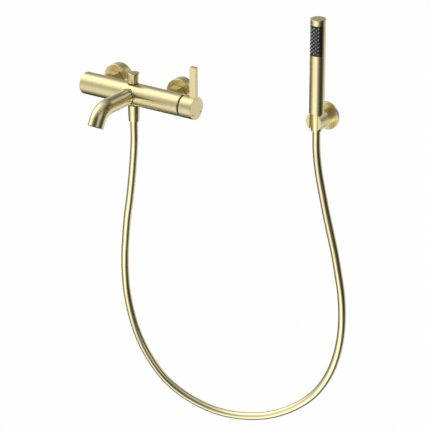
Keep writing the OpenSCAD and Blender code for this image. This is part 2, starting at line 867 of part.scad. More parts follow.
// Turns of the return spring between the valve and the bonnet
spring_low = valve_top + spring_wire_r + still_fit;
spring_rise = bonnet_low - valve_top - 2 * (spring_wire_r + still_fit);
spring_steps = 12 * spring_turns;
spring_rings = [for (i = [0 : spring_steps])
    let (turn = 30 * i,
         out = [cos(turn), sin(turn), 0],
         along = unit([-spring_r * sin(turn), spring_r * cos(turn), spring_rise / (2 * PI * spring_turns)]))
    [spring_r * out + [0, 0, spring_low + spring_rise * i / spring_steps], cross(along, out), out]];

module diverter_spring() {
    color(steel) at_outlet() swept_tube(spring_rings, spring_wire_r, 6);
}

module diverter_knob() {
    color(gold) at_outlet() difference() {
        union() {
            rod_z(knob_low, knob_top - knob_lip, knob_r);
            translate([0, 0, knob_top - knob_lip]) rotate_extrude()
                rounded_half(knob_lip_d / 2, knob_lip - knob_dome, 1);
            intersection() {
                translate([0, 0, knob_top - dome_r]) sphere(dome_r);
                rod_z(knob_top - knob_dome - 0.5, knob_top + eps, dome_edge_r);
            }
        }
        rod_z(knob_low - eps, knob_hollow_top, knob_hollow_r);
        rod_z(knob_low - eps, spindle_top + still_fit, spindle_r + still_fit);
    }
}

module outlet_nipple() {
    color(gold) at_outlet() difference() {
        union() {
            rod_z(-bottom_face, outlet_top, hose_thread_r);
            rod_z(-bottom_face - outlet_collar, -bottom_face, outlet_collar_r);
            rod_z(-bottom_face - outlet_collar - hose_thread_len, -bottom_face, hose_thread_r);
        }
        rod_z(-bottom_face - outlet_collar - hose_thread_len - eps, outlet_top + eps, outlet_bore_r);
    }
}

// Pieces at one end of the hose, hanging down from the height of the nut's upper face
thread_end = hose_thread_len - nut_start_gap;
tail_top = thread_end + hose_washer_t;

module hose_washer(top) {
    color(seal_black) ring_z(top - tail_top, top - thread_end, hose_washer_r, outlet_bore_r);
}

module hose_tail(top) {
    color(raw_brass) difference() {
        union() {
            rod_z(top - tail_top - tail_flange_t, top - tail_top, hose_washer_r);
            rod_z(top - hose_nut_len, top - tail_top, hose_r - still_fit);
        }
        rod_z(top - hose_nut_len - eps, top - tail_top + eps, outlet_bore_r - 1);
    }
}

module hose_nut(top) {
    color(gold) difference() {
        translate([0, 0, top - hose_nut_len])
            cylinder(h = hose_nut_len, r1 = hose_nut_small_d / 2, r2 = hose_nut_d / 2);
        rod_z(top - tail_top - tail_flange_t - still_fit, top + eps, hose_thread_r + still_fit / 2);
        rod_z(top - hose_nut_len - eps, top, hose_r + run_fit);
    }
}

module hose() {
    color(gold) swept_tube(hose_rings, hose_r, hose_sides);
}

// Handset
module panel_sector(r, bore_r, half, low, high) {
    reach = 2 * r;
    translate([0, 0, low]) linear_extrude(high - low) difference() {
        intersection() {
            circle(r);
            polygon(concat([[0, 0]], [for (a = [-half, -half / 2, 0, half / 2, half])
                reach * [sin(a), -cos(a)]]));
        }
        circle(bore_r);
    }
}

// Places one nozzle at each column and row of the staggered field
module at_nozzles() {
    for (column = [-2 : 2]) {
        rows = nozzle_rows - abs(column) % 2;
        for (row = [0 : rows - 1])
            translate([0, 0, (panel_low_z + panel_high_z) / 2 + nozzle_pitch * (row - (rows - 1) / 2)])
                rotate([0, 0, nozzle_step * column]) rotate([90, 0, 0]) children();
    }
}

module handset_tube() {
    color(gold) at_handset() difference() {
        union() {
            translate([0, 0, foot_z]) cylinder(h = foot_chamfer, r1 = handset_r - foot_chamfer, r2 = handset_r);
            translate([0, 0, foot_z + foot_chamfer]) rotate_extrude()
                rounded_half(handset_r, handset_len - foot_chamfer, 0.7);
        }
        rod_z(foot_z - eps, handset_top_z - handset_cap, handset_bore_r);
        panel_sector(handset_r + eps, panel_in_r, panel_half_angle, panel_low_z, panel_high_z);
    }
}

module spray_panel() {
    edge_angle = atan(still_fit / panel_r);
    color(black) at_handset() difference() {
        panel_sector(panel_r, panel_in_r, panel_half_angle - edge_angle,
                     panel_low_z + still_fit, panel_high_z - still_fit);
        at_nozzles() cylinder(h = handset_r + eps, r = nozzle_d / 2 + still_fit);
    }
}

module nozzle_mat() {
    color(grey) at_handset() {
        panel_sector(mat_r, mat_in_r, 2 * nozzle_step + 8, panel_low_z + 1, panel_high_z - 1);
        at_nozzles() translate([0, 0, mat_r - mat_t / 2])
            cylinder(h = panel_r + nozzle_proud - mat_r + mat_t / 2, r1 = nozzle_d / 2, r2 = nozzle_d / 2 - 0.4);
    }
}

module handset_core() {
    color(pale) at_handset() difference() {
        union() {
            rod_z(panel_low_z, panel_high_z, core_r);
            rod_z(foot_z + inlet_plug_len, panel_low_z, core_tube_r);
        }
        rod_z(foot_z, panel_high_z - 3, core_bore_r - 2);
        panel_sector(core_r + eps, 0.5, 2 * nozzle_step + 3, panel_low_z + 2, panel_high_z - 2);
    }
}

module handset_inlet() {
    color(raw_brass) at_handset() difference() {
        union() {
            rod_z(foot_z + foot_chamfer, foot_z + inlet_plug_len, handset_bore_r - still_fit);
            rod_z(foot_z - hose_thread_len, foot_z + foot_chamfer, hose_thread_r);
        }
        rod_z(foot_z - hose_thread_len - eps, foot_z + inlet_plug_len + eps, outlet_bore_r - 1);
    }
}

// Holder
module nut_seat() {
    taper = (hose_nut_d - hose_nut_small_d) / 2 / hose_nut_len;
    over = 6;
    translate([0, 0, upper_hose_z - over])
        cylinder(h = hose_nut_len + 2 * over,
                 r1 = hose_nut_small_d / 2 - taper * over + free_gap,
                 r2 = hose_nut_d / 2 + taper * over + free_gap);
}

module holder_arm() {
    color(gold) difference() {
        at_holder() translate([0, -holder_rosette_t, 0]) rotate([90, 0, 0])
            rotate_extrude() rounded_half(arm_r, arm_reach - holder_rosette_t, 0.5);
        at_holder() rod_y(-holder_rosette_t - socket_depth, eps, stub_r + still_fit);
        at_handset() {
            nut_seat();
            rod_z(foot_z - free_gap, foot_z + arm_d, foot_r);
            translate([-slot_w / 2, -arm_reach, holder_z - arm_d]) cube([slot_w, arm_reach, 2 * arm_d]);
        }
        at_holder() translate([0, -holder_rosette_t - socket_depth / 2, 0])
            rod_z(-arm_r - eps, 0, holder_screw_r + still_fit);
    }
}

module holder_rosette() {
    color(gold) at_holder() difference() {
        rotate([90, 0, 0]) rotate_extrude() rounded_half(holder_rosette_d / 2, holder_rosette_t, 0.8);
        rod_y(-holder_rosette_t - eps, eps, stub_r + still_fit);
    }
}

module holder_stub() {
    color(raw_brass) at_holder() difference() {
        rod_y(-stub_len, 0, stub_r);
        rod_y(-stub_len - eps, eps, wall_screw_r + still_fit);
        rod_y(-stub_len - eps, -stub_len + 6, screw_head_r + free_gap);
        translate([0, -holder_rosette_t - socket_depth / 2, 0])
            rod_z(-stub_r - eps, -stub_r + 1.5, holder_screw_r + free_gap);
    }
}

module holder_grub_screw() {
    color(steel) at_holder() translate([0, -holder_rosette_t - socket_depth / 2, 0]) difference() {
        rod_z(-arm_r + 1, -stub_r + 1.5 - still_fit, holder_screw_r);
        translate([0, 0, -arm_r + 1]) cylinder(h = 2, r = holder_screw_r / 2, $fn = 6);
    }
}

module holder_wall_screw() {
    color(steel) at_holder() difference() {
        union() {
            rod_y(-stub_len + 6 - screw_head_t, -stub_len + 6, screw_head_r);
            rod_y(-stub_len + 6 - eps, wall_screw_len, wall_screw_r);
        }
        translate([0, -stub_len + 6 - screw_head_t, 0]) cube([5, 2.4, 1], center = true);
        translate([0, -stub_len + 6 - screw_head_t, 0]) cube([1, 2.4, 5], center = true);
    }
}

module holder_wall_plug() {
    color(grey) at_holder() difference() {
        rod_y(0, wall_screw_len - 2, wall_plug_r);
        rod_y(-eps, wall_screw_len, wall_screw_r + still_fit);
    }
}

mixer_body();
spout();
spout_seal();
spout_grub_screw();
aerator_housing();
aerator_insert();
eccentric_union(-1);  // left_eccentric_union
eccentric_union(1);  // right_eccentric_union
rosette(-1);  // left_rosette
rosette(1);  // right_rosette
union_nut(-1);  // left_union_nut
union_nut(1);  // right_union_nut
inlet_nipple(-1);  // left_inlet_nipple
inlet_nipple(1);  // right_inlet_nipple
union_washer(-1);  // left_union_washer
union_washer(1);  // right_union_washer
check_valve(-1);  // left_check_valve
check_valve(1);  // right_check_valve
cartridge_housing();
cartridge_base();
cartridge_seal();
fixed_disc();
moving_disc();
disc_carrier();
rotor();
tilt_pin();
lever_stem();
retaining_nut();
handle_cap();
lever_blade();
handle_grub_screw();
hot_dot();
cold_dot();
diverter_bonnet();
spindle_seal();
diverter_spindle();
diverter_valve();
spindle_nut();
diverter_spring();
diverter_knob();
outlet_nipple();
at_outlet() hose_washer(lower_nut_z - axis_z);  // lower_hose_washer
at_outlet() hose_tail(lower_nut_z - axis_z);  // lower_hose_tail
at_outlet() hose_nut(lower_nut_z - axis_z);  // lower_hose_nut
hose();
at_handset() hose_nut(upper_nut_z);  // upper_hose_nut
at_handset() hose_tail(upper_nut_z);  // upper_hose_tail
at_handset() hose_washer(upper_nut_z);  // upper_hose_washer
handset_inlet();
handset_tube();
handset_core();
spray_panel();
nozzle_mat();
holder_arm();
holder_rosette();
holder_stub();
holder_grub_screw();
holder_wall_screw();
holder_wall_plug();
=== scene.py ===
# %% [markdown]
# A wall-mounted bath mixer with its hand shower, hose and wall holder.
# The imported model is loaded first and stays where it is: it carries every size and every joint.
# This lesson dresses it with finishes and adds the pieces that solids show too plainly.

# %% Load the frame and keep its box
import bpy
import bmesh
import math
from mathutils import Matrix, Vector


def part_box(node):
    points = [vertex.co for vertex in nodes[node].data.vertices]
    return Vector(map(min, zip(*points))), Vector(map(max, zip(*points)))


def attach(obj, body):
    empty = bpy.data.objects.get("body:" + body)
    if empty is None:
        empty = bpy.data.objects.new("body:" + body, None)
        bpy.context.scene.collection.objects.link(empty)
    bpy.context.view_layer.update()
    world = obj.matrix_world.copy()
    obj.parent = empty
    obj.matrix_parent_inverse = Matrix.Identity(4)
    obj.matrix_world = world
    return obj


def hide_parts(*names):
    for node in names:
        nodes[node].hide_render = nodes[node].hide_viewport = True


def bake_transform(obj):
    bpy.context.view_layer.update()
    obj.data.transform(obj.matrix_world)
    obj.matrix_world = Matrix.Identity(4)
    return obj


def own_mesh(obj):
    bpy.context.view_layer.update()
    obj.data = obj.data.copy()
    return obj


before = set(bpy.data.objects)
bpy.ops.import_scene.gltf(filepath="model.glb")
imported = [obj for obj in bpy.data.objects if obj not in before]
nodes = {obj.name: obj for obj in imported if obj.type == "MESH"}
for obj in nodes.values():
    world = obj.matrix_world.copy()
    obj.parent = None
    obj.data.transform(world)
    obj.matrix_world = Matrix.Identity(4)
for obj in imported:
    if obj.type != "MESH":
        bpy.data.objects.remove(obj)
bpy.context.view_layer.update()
scene = bpy.context.scene
MM = 0.001

# %% [markdown]
# The camera stands far off with a long lens, to the right of the mixer and a little above it.
# With such a lens the pipes keep their thickness from front to back, as they do in the product picture.
# Azimuth, height angle, distance and lens come from fitting known edges of the mixer to that picture.

# %% Camera
CAMERA_AZIMUTH = math.radians(34.217)
CAMERA_ELEVATION = math.radians(22.755)
CAMERA_DISTANCE = 4.8115
CAMERA_TARGET = Vector((0.18785, -0.060, -0.22077))
CAMERA_LENS = 209.5
SENSOR_WIDTH = 36


def look_at(obj, target):
    """Turns an object's -Z towards a point."""
    way = Vector(target) - obj.location
    obj.rotation_euler = way.to_track_quat("-Z", "Y").to_euler()


camera_data = bpy.data.cameras.new("product_camera")
camera_data.lens = CAMERA_LENS
camera_data.sensor_width = SENSOR_WIDTH
camera = bpy.data.objects.new("product_camera", camera_data)
scene.collection.objects.link(camera)
camera.location = CAMERA_TARGET + CAMERA_DISTANCE * Vector((
    math.sin(CAMERA_AZIMUTH) * math.cos(CAMERA_ELEVATION),
    -math.cos(CAMERA_AZIMUTH) * math.cos(CAMERA_ELEVATION),
    math.sin(CAMERA_ELEVATION)))
look_at(camera, CAMERA_TARGET)
scene.camera = camera
scene.view_settings.view_transform = "Standard"
print("camera at", [round(c, 3) for c in camera.location])

# %% [markdown]
# The hose is the one soft piece. It hangs from the outlet under the body, sags in a wide loop and
# climbs to the nut under the handset. A curve object would bend too, but the hose must also stretch up
# with the handset when that is lifted, so it is a mesh tube whose rings follow a smooth line.
# The line passes through the same points as the solid hose, between the ends of its two nuts.

# %% Hose line
OUTLET = Vector((4.5, -68.5, -63.0)) * MM
SEAT = Vector((399, -36, -8.6)) * MM
HOSE_RADIUS = 7.5 * MM
HOSE_STEPS = 8
ROUTE_SPAN = 395
HOSE_ROUTE = [
    (0, -106), (-3, -147), (-7, -187), (-12, -227), (-18, -267), (-22, -307),
    (-25, -348), (-25, -388), (-22, -428), (-14, -469), (-2, -508), (16, -545),
    (40, -578), (68, -605), (102, -625), (139, -638), (178, -645), (219, -645),
    (260, -638), (299, -626), (336, -607), (369, -584), (398, -556), (421, -523),
    (438, -487), (449, -449), (455, -409), (456, -369), (453, -329), (446, -289),
    (438, -249), (428, -209), (418, -169), (409, -129), (401, -90), (396, -50),
]
hose_step = Vector((SEAT.x - OUTLET.x, SEAT.y - OUTLET.y, 0)) / ROUTE_SPAN
hose_knots = [OUTLET] + [Vector((OUTLET.x, OUTLET.y, height * MM)) + out * hose_step
                         for out, height in HOSE_ROUTE] + [SEAT]
END_LEAD = Vector((0, 0, 0.04))


def smooth_line(knots, lead_in, lead_out, steps):
    """Points of a Catmull-Rom curve through the knots, with given points before and after them."""
    around = [lead_in] + knots + [lead_out]
    line = []
    for p0, p1, p2, p3 in zip(around, around[1:], around[2:], around[3:]):
        for k in range(steps):
            t = k / steps
            line.append(0.5 * (2 * p1 + (p2 - p0) * t + (2 * p0 - 5 * p1 + 4 * p2 - p3) * t * t
                               + (3 * p1 - p0 - 3 * p2 + p3) * t ** 3))
    return line + [knots[-1]]


hose_line = smooth_line(hose_knots, OUTLET + END_LEAD, SEAT + END_LEAD, HOSE_STEPS)
hose_measured = sum((b - a).length for a, b in zip(hose_line, hose_line[1:]))
print("hose points:", len(hose_line), "length:", round(hose_measured, 4), "m")

# %% [markdown]
# Each ring of the tube stands square to the line. All rings share one sideways direction, because the
# hose hangs in a single upright plane, so the tube never twists. A UV map runs once round the hose and
# counts metres along it, which lets the finish follow the hose round its loop.

# %% Hose tube
HOSE_SIDES = 24
FULL_TURN = 2 * math.pi


def add_object(name, mesh):
    """Links a new object at the origin, so that its mesh carries its place."""
    obj = bpy.data.objects.new(name, mesh)
    scene.collection.objects.link(obj)
    return obj


def smooth_faces(mesh, sharp_angle):
    """Shades a mesh smooth, with edges sharper than the angle kept crisp."""
    mesh.shade_smooth()
    mesh.set_sharp_from_angle(angle=math.radians(sharp_angle))
    return mesh


def close_mesh(bm, name, sharp_angle):
    """Turns the faces of a finished bmesh outward and makes a smooth mesh of it, without older shading."""
    bmesh.ops.recalc_face_normals(bm, faces=bm.faces)
    mesh = bpy.data.meshes.new(name)
    bm.to_mesh(mesh)
    bm.free()
    old_shading = mesh.attributes.get("custom_normal")
    if old_shading:
        mesh.attributes.remove(old_shading)
    return smooth_faces(mesh, sharp_angle)


def hose_mesh(line, radius, sides):
    """A closed round tube along a line, with a UV map of turns and metres."""
    across = Vector((0, 0, 1)).cross(hose_step).normalized()
    bm = bmesh.new()
    uv = bm.loops.layers.uv.new("hose_uv")
    rings = []
    runs = [0.0]
    for a, b in zip(line, line[1:]):
        runs.append(runs[-1] + (b - a).length)
    for i, point in enumerate(line):
        if i == 0:
            along = Vector((0, 0, -1))
        elif i == len(line) - 1:
            along = Vector((0, 0, 1))
        else:
            along = (line[i + 1] - line[i - 1]).normalized()
        up = along.cross(across)
        turns = [FULL_TURN * k / sides for k in range(sides)]
        rings.append([bm.verts.new(point + radius * (math.cos(turn) * across + math.sin(turn) * up))
                      for turn in turns])
    for i, (low, high) in enumerate(zip(rings, rings[1:])):
        for k in range(sides):
            n = (k + 1) % sides
            face = bm.faces.new((low[k], low[n], high[n], high[k]))
            corners = ((k, i), (k + 1, i), (k + 1, i + 1), (k, i + 1))
            for loop, (turn, at) in zip(face.loops, corners):
                loop[uv].uv = (turn / sides, runs[at])
    bm.faces.new(list(reversed(rings[0])))
    bm.faces.new(rings[-1])
    return close_mesh(bm, "hose_tube", sharp_angle=60)


hose = add_object("hose_tube", hose_mesh(hose_line, HOSE_RADIUS, HOSE_SIDES))
print("hose faces:", len(hose.data.polygons))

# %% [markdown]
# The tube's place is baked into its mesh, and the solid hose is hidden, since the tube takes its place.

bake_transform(hose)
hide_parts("hose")

# %% [markdown]
# Shaders are small graphs of nodes. A few helpers keep the later cells short: one starts a material,
# one adds a node with its values, two do the same for sums, one draws the links, and one starts a reusable
# group with named sockets.
# A Mix node has a set of sockets for each kind of value; the three numbers are its sockets for colours.

# %% Shader helpers
MIX_FROM, MIX_TO, MIX_RESULT = 6, 7, 2


def shader_material(name):
    """A new material with nodes, its tree, and the inputs of its Principled shader."""
    material = bpy.data.materials.new(name)
    material.use_nodes = True
    return material, material.node_tree, material.node_tree.nodes["Principled BSDF"].inputs


def add_node(tree, kind, **values):
    """A new node with its properties set, and its inputs by name or number."""
    node = tree.nodes.new(kind)
    inputs = values.pop("inputs", {})
    for key, value in values.items():
        setattr(node, key, value)
    for key, value in inputs.items():
        node.inputs[key].default_value = value
    return node


def maths(tree, operation, second=None, kind="ShaderNodeMath"):
    """A Math node, with its second value if that is fixed."""
    return add_node(tree, kind, operation=operation, inputs={} if second is None else {1: second})


def vectors(tree, operation, second=None):
    """A Vector Math node, with its second vector if that is fixed."""
    return maths(tree, operation, second, "ShaderNodeVectorMath")


def wire(tree, *pairs):
    """Links pairs of sockets. A node stands for its first output or its first input."""
    for source, target in pairs:
        tree.links.new(getattr(source, "outputs", [source])[0], getattr(target, "inputs", [target])[0])


def node_group(name, inputs, outputs, tree_kind="ShaderNodeTree"):
    """A new group, with its inputs and outputs of the given kinds as sockets by name."""
    tree = bpy.data.node_groups.new(name, tree_kind)
    for way, sockets in (("INPUT", inputs), ("OUTPUT", outputs)):
        for label, kind in sockets.items():
            tree.interface.new_socket(label, in_out=way, socket_type="NodeSocket" + kind)
    return tree, tree.nodes.new("NodeGroupInput").outputs, tree.nodes.new("NodeGroupOutput").inputs


print("shader helpers ready")

# %% [markdown]
# Polished metal has almost no shade of its own: what looks like light and dark on a gold pipe is the room
# that it mirrors. A product studio is therefore a dark room with a few big soft panels in it. Each panel
# here is a round glow in one direction of the world, bright in its middle and fading to its rim.
# One group makes such a glow, and the world adds up eight of them.

# %% Soft panel group


def soft_panel_group():
    """A glow of a given level around one direction, which falls off the quicker the tighter it is."""
    tree, inside, outside = node_group(
        "soft_panel", {"Direction": "Vector", "Centre": "Vector", "Tightness": "Float", "Level": "Float"},
        {"Light": "Float"})
    facing = vectors(tree, "DOT_PRODUCT")
    away = maths(tree, "SUBTRACT", 1.0)
    fall = maths(tree, "MULTIPLY")
    glow = maths(tree, "EXPONENT")
    light = maths(tree, "MULTIPLY")
    wire(tree, (inside["Direction"], facing), (inside["Centre"], facing.inputs[1]),
         (facing.outputs["Value"], away), (away, fall), (inside["Tightness"], fall.inputs[1]), (fall, glow),
         (glow, light), (inside["Level"], light.inputs[1]), (light, outside["Light"]))
    return tree


soft_panel = soft_panel_group()
print("group:", soft_panel.name)

# %% [markdown]
# A panel is written as its angle to the right of straight ahead, its height angle, the angle from its
# middle to where it is half as bright, and its level. The big one hangs up and to the left and draws the
# bright line along the body. The one in front and below is the lit floor and lights the upright pipes.
# The right-hand side is left dark, which gives each pipe its dark band. The camera itself sees plain white.

# %% World
SOFT_PANELS = {
    "overhead_left": (-82, 36, 25, 2.5),
    "left": (-36.5, -6, 20.5, 0.73),
    "front_floor": (4.5, -43.5, 23.5, 2.6),
    "right_front": (65, 29, 17.5, 0.74),
    "back_right_floor": (160, -25, 25.5, 0.89),
    "back_right": (163, 23, 11, 1.27),
    "back_left": (-151, -3, 25, 0.47),
    "ceiling": (0, 90, 28, 0.57),
}
ROOM_LEVEL = 0.003
PANEL_LIMIT = 1.7


def towards(azimuth, height):
    """The direction at an angle to the right of straight ahead and a height angle, in degrees."""
    a, h = math.radians(azimuth), math.radians(height)
    return Vector((math.sin(a) * math.cos(h), -math.cos(a) * math.cos(h), math.sin(h)))


def studio_world():
    """A dim room with soft panels around it, which is plain white to the camera."""
    world = bpy.data.worlds.new("studio")
    world.use_nodes = True
    tree = world.node_tree
    background = tree.nodes["Background"]
    background.inputs["Color"].default_value = (1, 1, 1, 1)
    place = add_node(tree, "ShaderNodeTexCoord")
    total = add_node(tree, "ShaderNodeValue")
    total.outputs[0].default_value = ROOM_LEVEL
    for label, (azimuth, height, half_width, level) in SOFT_PANELS.items():
        tightness = math.log(2) / (1 - math.cos(math.radians(half_width)))
        panel = add_node(tree, "ShaderNodeGroup", node_tree=soft_panel, label=label, inputs={
            "Centre": towards(azimuth, height), "Tightness": tightness, "Level": level})
        both = maths(tree, "ADD")
        wire(tree, (place.outputs["Generated"], panel.inputs["Direction"]), (total, both),
             (panel.outputs["Light"], both.inputs[1]))
        total = both
    limit = maths(tree, "MINIMUM", PANEL_LIMIT)
    path = add_node(tree, "ShaderNodeLightPath")
    level = add_node(tree, "ShaderNodeMix", data_type="FLOAT", inputs={"B": 1.0})
    wire(tree, (total, limit), (limit, level.inputs["A"]), (path.outputs["Is Camera Ray"], level),
         (level, background.inputs["Strength"]))
    return world


scene.world = studio_world()
print("panels:", len(SOFT_PANELS))

# %% [markdown]
# The floor is matt and pale, and the camera sees it almost wholly as white.
# The mixer sees the lit part of the floor as the two floor panels of the world, so the plane itself is
# left out of its mirror images and does not shade it. From below it is clear, so that the mixer can be
# looked at from there too.

# %% Floor
FLOOR_HEIGHT = -1.2
FLOOR_SIZE = 40
WHITE_SHARE = 0.985


def floor_material():
    """A pale matt floor, which the camera sees mostly as plain white."""
    material, tree, surface = shader_material("studio_floor")
    surface["Base Color"].default_value = (0.9, 0.9, 0.9, 1)
    surface["Roughness"].default_value = 0.9
    path = add_node(tree, "ShaderNodeLightPath")
    share = maths(tree, "MULTIPLY", WHITE_SHARE)
    shine = add_node(tree, "ShaderNodeEmission")
    mix = add_node(tree, "ShaderNodeMixShader")
    side = add_node(tree, "ShaderNodeNewGeometry")
    clear = add_node(tree, "ShaderNodeBsdfTransparent")
    sides = add_node(tree, "ShaderNodeMixShader")
    wire(tree, (path.outputs["Is Camera Ray"], share), (share, mix),
         (tree.nodes["Principled BSDF"], mix.inputs[1]), (shine, mix.inputs[2]),
         (side.outputs["Backfacing"], sides), (mix, sides.inputs[1]), (clear, sides.inputs[2]),
         (sides, tree.nodes["Material Output"].inputs["Surface"]))
    material.cycles.emission_sampling = "NONE"
    return material


half = FLOOR_SIZE / 2
floor = add_object("floor", bpy.data.meshes.new("floor"))
floor.data.from_pydata([(x * half, y * half, FLOOR_HEIGHT) for x, y in ((-1, -1), (1, -1), (1, 1), (-1, 1))],
                       [], [(0, 1, 2, 3)])
floor.data.materials.append(floor_material())
floor.visible_glossy = False
floor.visible_diffuse = False
floor.visible_shadow = False
print("floor at", FLOOR_HEIGHT)

# %% [markdown]
# Brushed gold is plated brass that was turned and then rubbed with a fine belt. The belt leaves thin rings
# round the axis of each turned piece, and the plating leaves a slight haze. A mirror image smears across
# such rings and stays sharp along them, which is why the bands on the pipes are crisp and still look satin.
# Flat end faces are rubbed every way and have an even satin. One group works out the rings, the way they
# run, the haze and where the end faces are, from a point on the axis and its direction.

# %% Group for turned marks
RING_SCALE = 3200
RUN_SCALE = 45
HAZE_SCALE = 26
END_FACE = {"From Min": 0.8, "From Max": 0.98}


def turned_marks_group():
    """Fine rings round an axis, the direction they run in, and the slow haze of the plating."""
    tree, inside, outside = node_group(
        "turned_marks", {"Vector": "Vector", "Normal": "Vector", "Centre": "Vector", "Axis": "Vector"},
        {"Marks": "Float", "Haze": "Float", "Tangent": "Vector", "Face": "Float"})
    arm = vectors(tree, "SUBTRACT")
    along = vectors(tree, "DOT_PRODUCT")
    around = vectors(tree, "CROSS_PRODUCT")
    reach = vectors(tree, "LENGTH")
    run = vectors(tree, "DOT_PRODUCT", (RUN_SCALE,) * 3)
    place = add_node(tree, "ShaderNodeCombineXYZ")
    scale = vectors(tree, "MULTIPLY", (RING_SCALE, RING_SCALE, 1))
    marks = add_node(tree, "ShaderNodeTexNoise", inputs={"Scale": 1.0, "Detail": 3.0, "Roughness": 0.6})
    haze = add_node(tree, "ShaderNodeTexNoise", inputs={"Scale": HAZE_SCALE, "Detail": 3.0, "Roughness": 0.5})
    lean = vectors(tree, "DOT_PRODUCT")
    flat = maths(tree, "ABSOLUTE")
    face = add_node(tree, "ShaderNodeMapRange", interpolation_type="SMOOTHSTEP", inputs=END_FACE)
    wire(tree, (inside["Normal"], lean), (inside["Axis"], lean.inputs[1]), (lean.outputs["Value"], flat),
         (flat, face), (face, outside["Face"]), (inside["Vector"], arm), (inside["Centre"], arm.inputs[1]),
         (arm, along), (inside["Axis"], along.inputs[1]), (inside["Axis"], around), (arm, around.inputs[1]),
         (around, reach), (arm, run), (along.outputs["Value"], place),
         (reach.outputs["Value"], place.inputs[1]), (run.outputs["Value"], place.inputs[2]), (place, scale),
         (scale, marks.inputs["Vector"]), (inside["Vector"], haze.inputs["Vector"]),
         (marks.outputs["Fac"], outside["Marks"]), (haze.outputs["Fac"], outside["Haze"]),
         (around, outside["Tangent"]))
    return tree


turned_marks = turned_marks_group()
print("group:", turned_marks.name)

# %% [markdown]
# The axes come from the solids themselves. A rosette or a tube is round, so the middle of its box is on its
# axis. The lever is a flat bar, rubbed along its length: its rings are drawn round a point two metres away,
# where they run almost straight. The spout is a bent tube, and its marks lie round its straight part.

# %% Axes of the turned pieces
FAR_AWAY = Vector((2, 0, 0))


def middle(node_name):
    """The middle of a solid's box."""
    low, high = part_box(node_name)
    return (low + high) / 2


AXES = {
    "body": (middle("handle_cap"), (1, 0, 0)),
    "spout": (Vector((middle("spout").x, 0, middle("handle_cap").z)), (0, 1, 0)),
    "left_inlet": (middle("left_rosette"), (0, 1, 0)),
    "right_inlet": (middle("right_rosette"), (0, 1, 0)),
    "outlet": (middle("diverter_knob"), (0, 0, 1)),
    "handset": (middle("handset_tube"), (0, 0, 1)),
    "holder": (middle("holder_rosette"), (0, 1, 0)),
    "lever": (middle("lever_blade") + FAR_AWAY, (0, 1, 0)),
}
print("axes:", list(AXES))

# %% [markdown]
# Three metals are used. The outer pieces are brushed gold. Threads, nipples and tails are turned brass that
# was never plated, a little darker and rougher. Screws, pins and the spring are plain steel.
# Each metal is made once for each axis that needs it. How satin the gold is differs from piece to piece, and
# is written as its roughness, how far the rings smear it, and the roughness of its end faces.

# %% Metal finishes
GOLD_DARK = (0.865, 0.745, 0.412, 1)
GOLD_LIGHT = (0.905, 0.785, 0.442, 1)
BRASS_DARK = (0.62, 0.47, 0.2, 1)
BRASS_LIGHT = (0.74, 0.58, 0.28, 1)
STEEL_DARK = (0.5, 0.5, 0.51, 1)
STEEL_LIGHT = (0.62, 0.62, 0.63, 1)
GOLD_SATIN = {
    "body": (0.245, 0.88, 0.2), "spout": (0.165, 0.0, 0.2), "holder": (0.28, 0.5, 0.36),
    "left_inlet": (0.3, 0.5, 0.36), "right_inlet": (0.3, 0.5, 0.36),
}
USUAL_SATIN = (0.2, 0.7, 0.2)
SATIN_SPREAD = 0.05
ROUGH_TURNED = (0.26, 0.36, 0.3)
QUARTER_TURN = 0.25


def metal(name, axis_name, dark, light, rough_low, rough_high, face_rough, mark_depth, smear):
    """A turned metal, with rings round one of the axes on its sides and an even satin on its end faces."""
    centre, axis = AXES[axis_name]
    material, tree, surface = shader_material(name + "_" + axis_name)
    place = add_node(tree, "ShaderNodeTexCoord")
    group = add_node(tree, "ShaderNodeGroup", node_tree=turned_marks, inputs={"Centre": centre, "Axis": axis})
    tone = add_node(tree, "ShaderNodeMix", data_type="RGBA", inputs={MIX_FROM: dark, MIX_TO: light})
    rough = add_node(tree, "ShaderNodeMapRange", inputs={
        "From Min": 0.25, "From Max": 0.75, "To Min": rough_low, "To Max": rough_high})
    even = add_node(tree, "ShaderNodeMapRange", inputs={"To Min": smear, "To Max": 0.0})
    satin = add_node(tree, "ShaderNodeMix", data_type="FLOAT", inputs={"B": face_rough})
    bump = add_node(tree, "ShaderNodeBump", inputs={"Strength": 0.25, "Distance": mark_depth})
    wire(tree, (place.outputs["Object"], group.inputs["Vector"]),
         (place.outputs["Normal"], group.inputs["Normal"]), (group.outputs["Haze"], tone),
         (tone.outputs[MIX_RESULT], surface["Base Color"]), (group.outputs["Face"], even),
         (even, surface["Anisotropic"]), (group.outputs["Face"], satin), (rough, satin.inputs["A"]),
         (group.outputs["Marks"], rough), (satin, surface["Roughness"]),
         (group.outputs["Marks"], bump.inputs["Height"]), (bump, surface["Normal"]),
         (group.outputs["Tangent"], surface["Tangent"]))
    surface["Metallic"].default_value = 1.0
    surface["Anisotropic Rotation"].default_value = QUARTER_TURN
    return material


def brushed_gold(axis_name):
    """Gold plating over brushed brass, satin to the degree that its piece was rubbed."""
    rough, smear, face_rough = GOLD_SATIN.get(axis_name, USUAL_SATIN)
    return metal("brushed_gold", axis_name, GOLD_DARK, GOLD_LIGHT, rough, rough + SATIN_SPREAD, face_rough,
                 mark_depth=0.000002, smear=smear)


def turned_brass(axis_name):
    """Bare brass as it comes off the lathe."""
    return metal("turned_brass", axis_name, BRASS_DARK, BRASS_LIGHT, *ROUGH_TURNED,
                 mark_depth=0.000006, smear=0.6)


def plain_steel(axis_name):
    """Grey steel of screws, pins and the spring."""
    return metal("plain_steel", axis_name, STEEL_DARK, STEEL_LIGHT, *ROUGH_TURNED,
                 mark_depth=0.000004, smear=0.4)


print("metals ready")

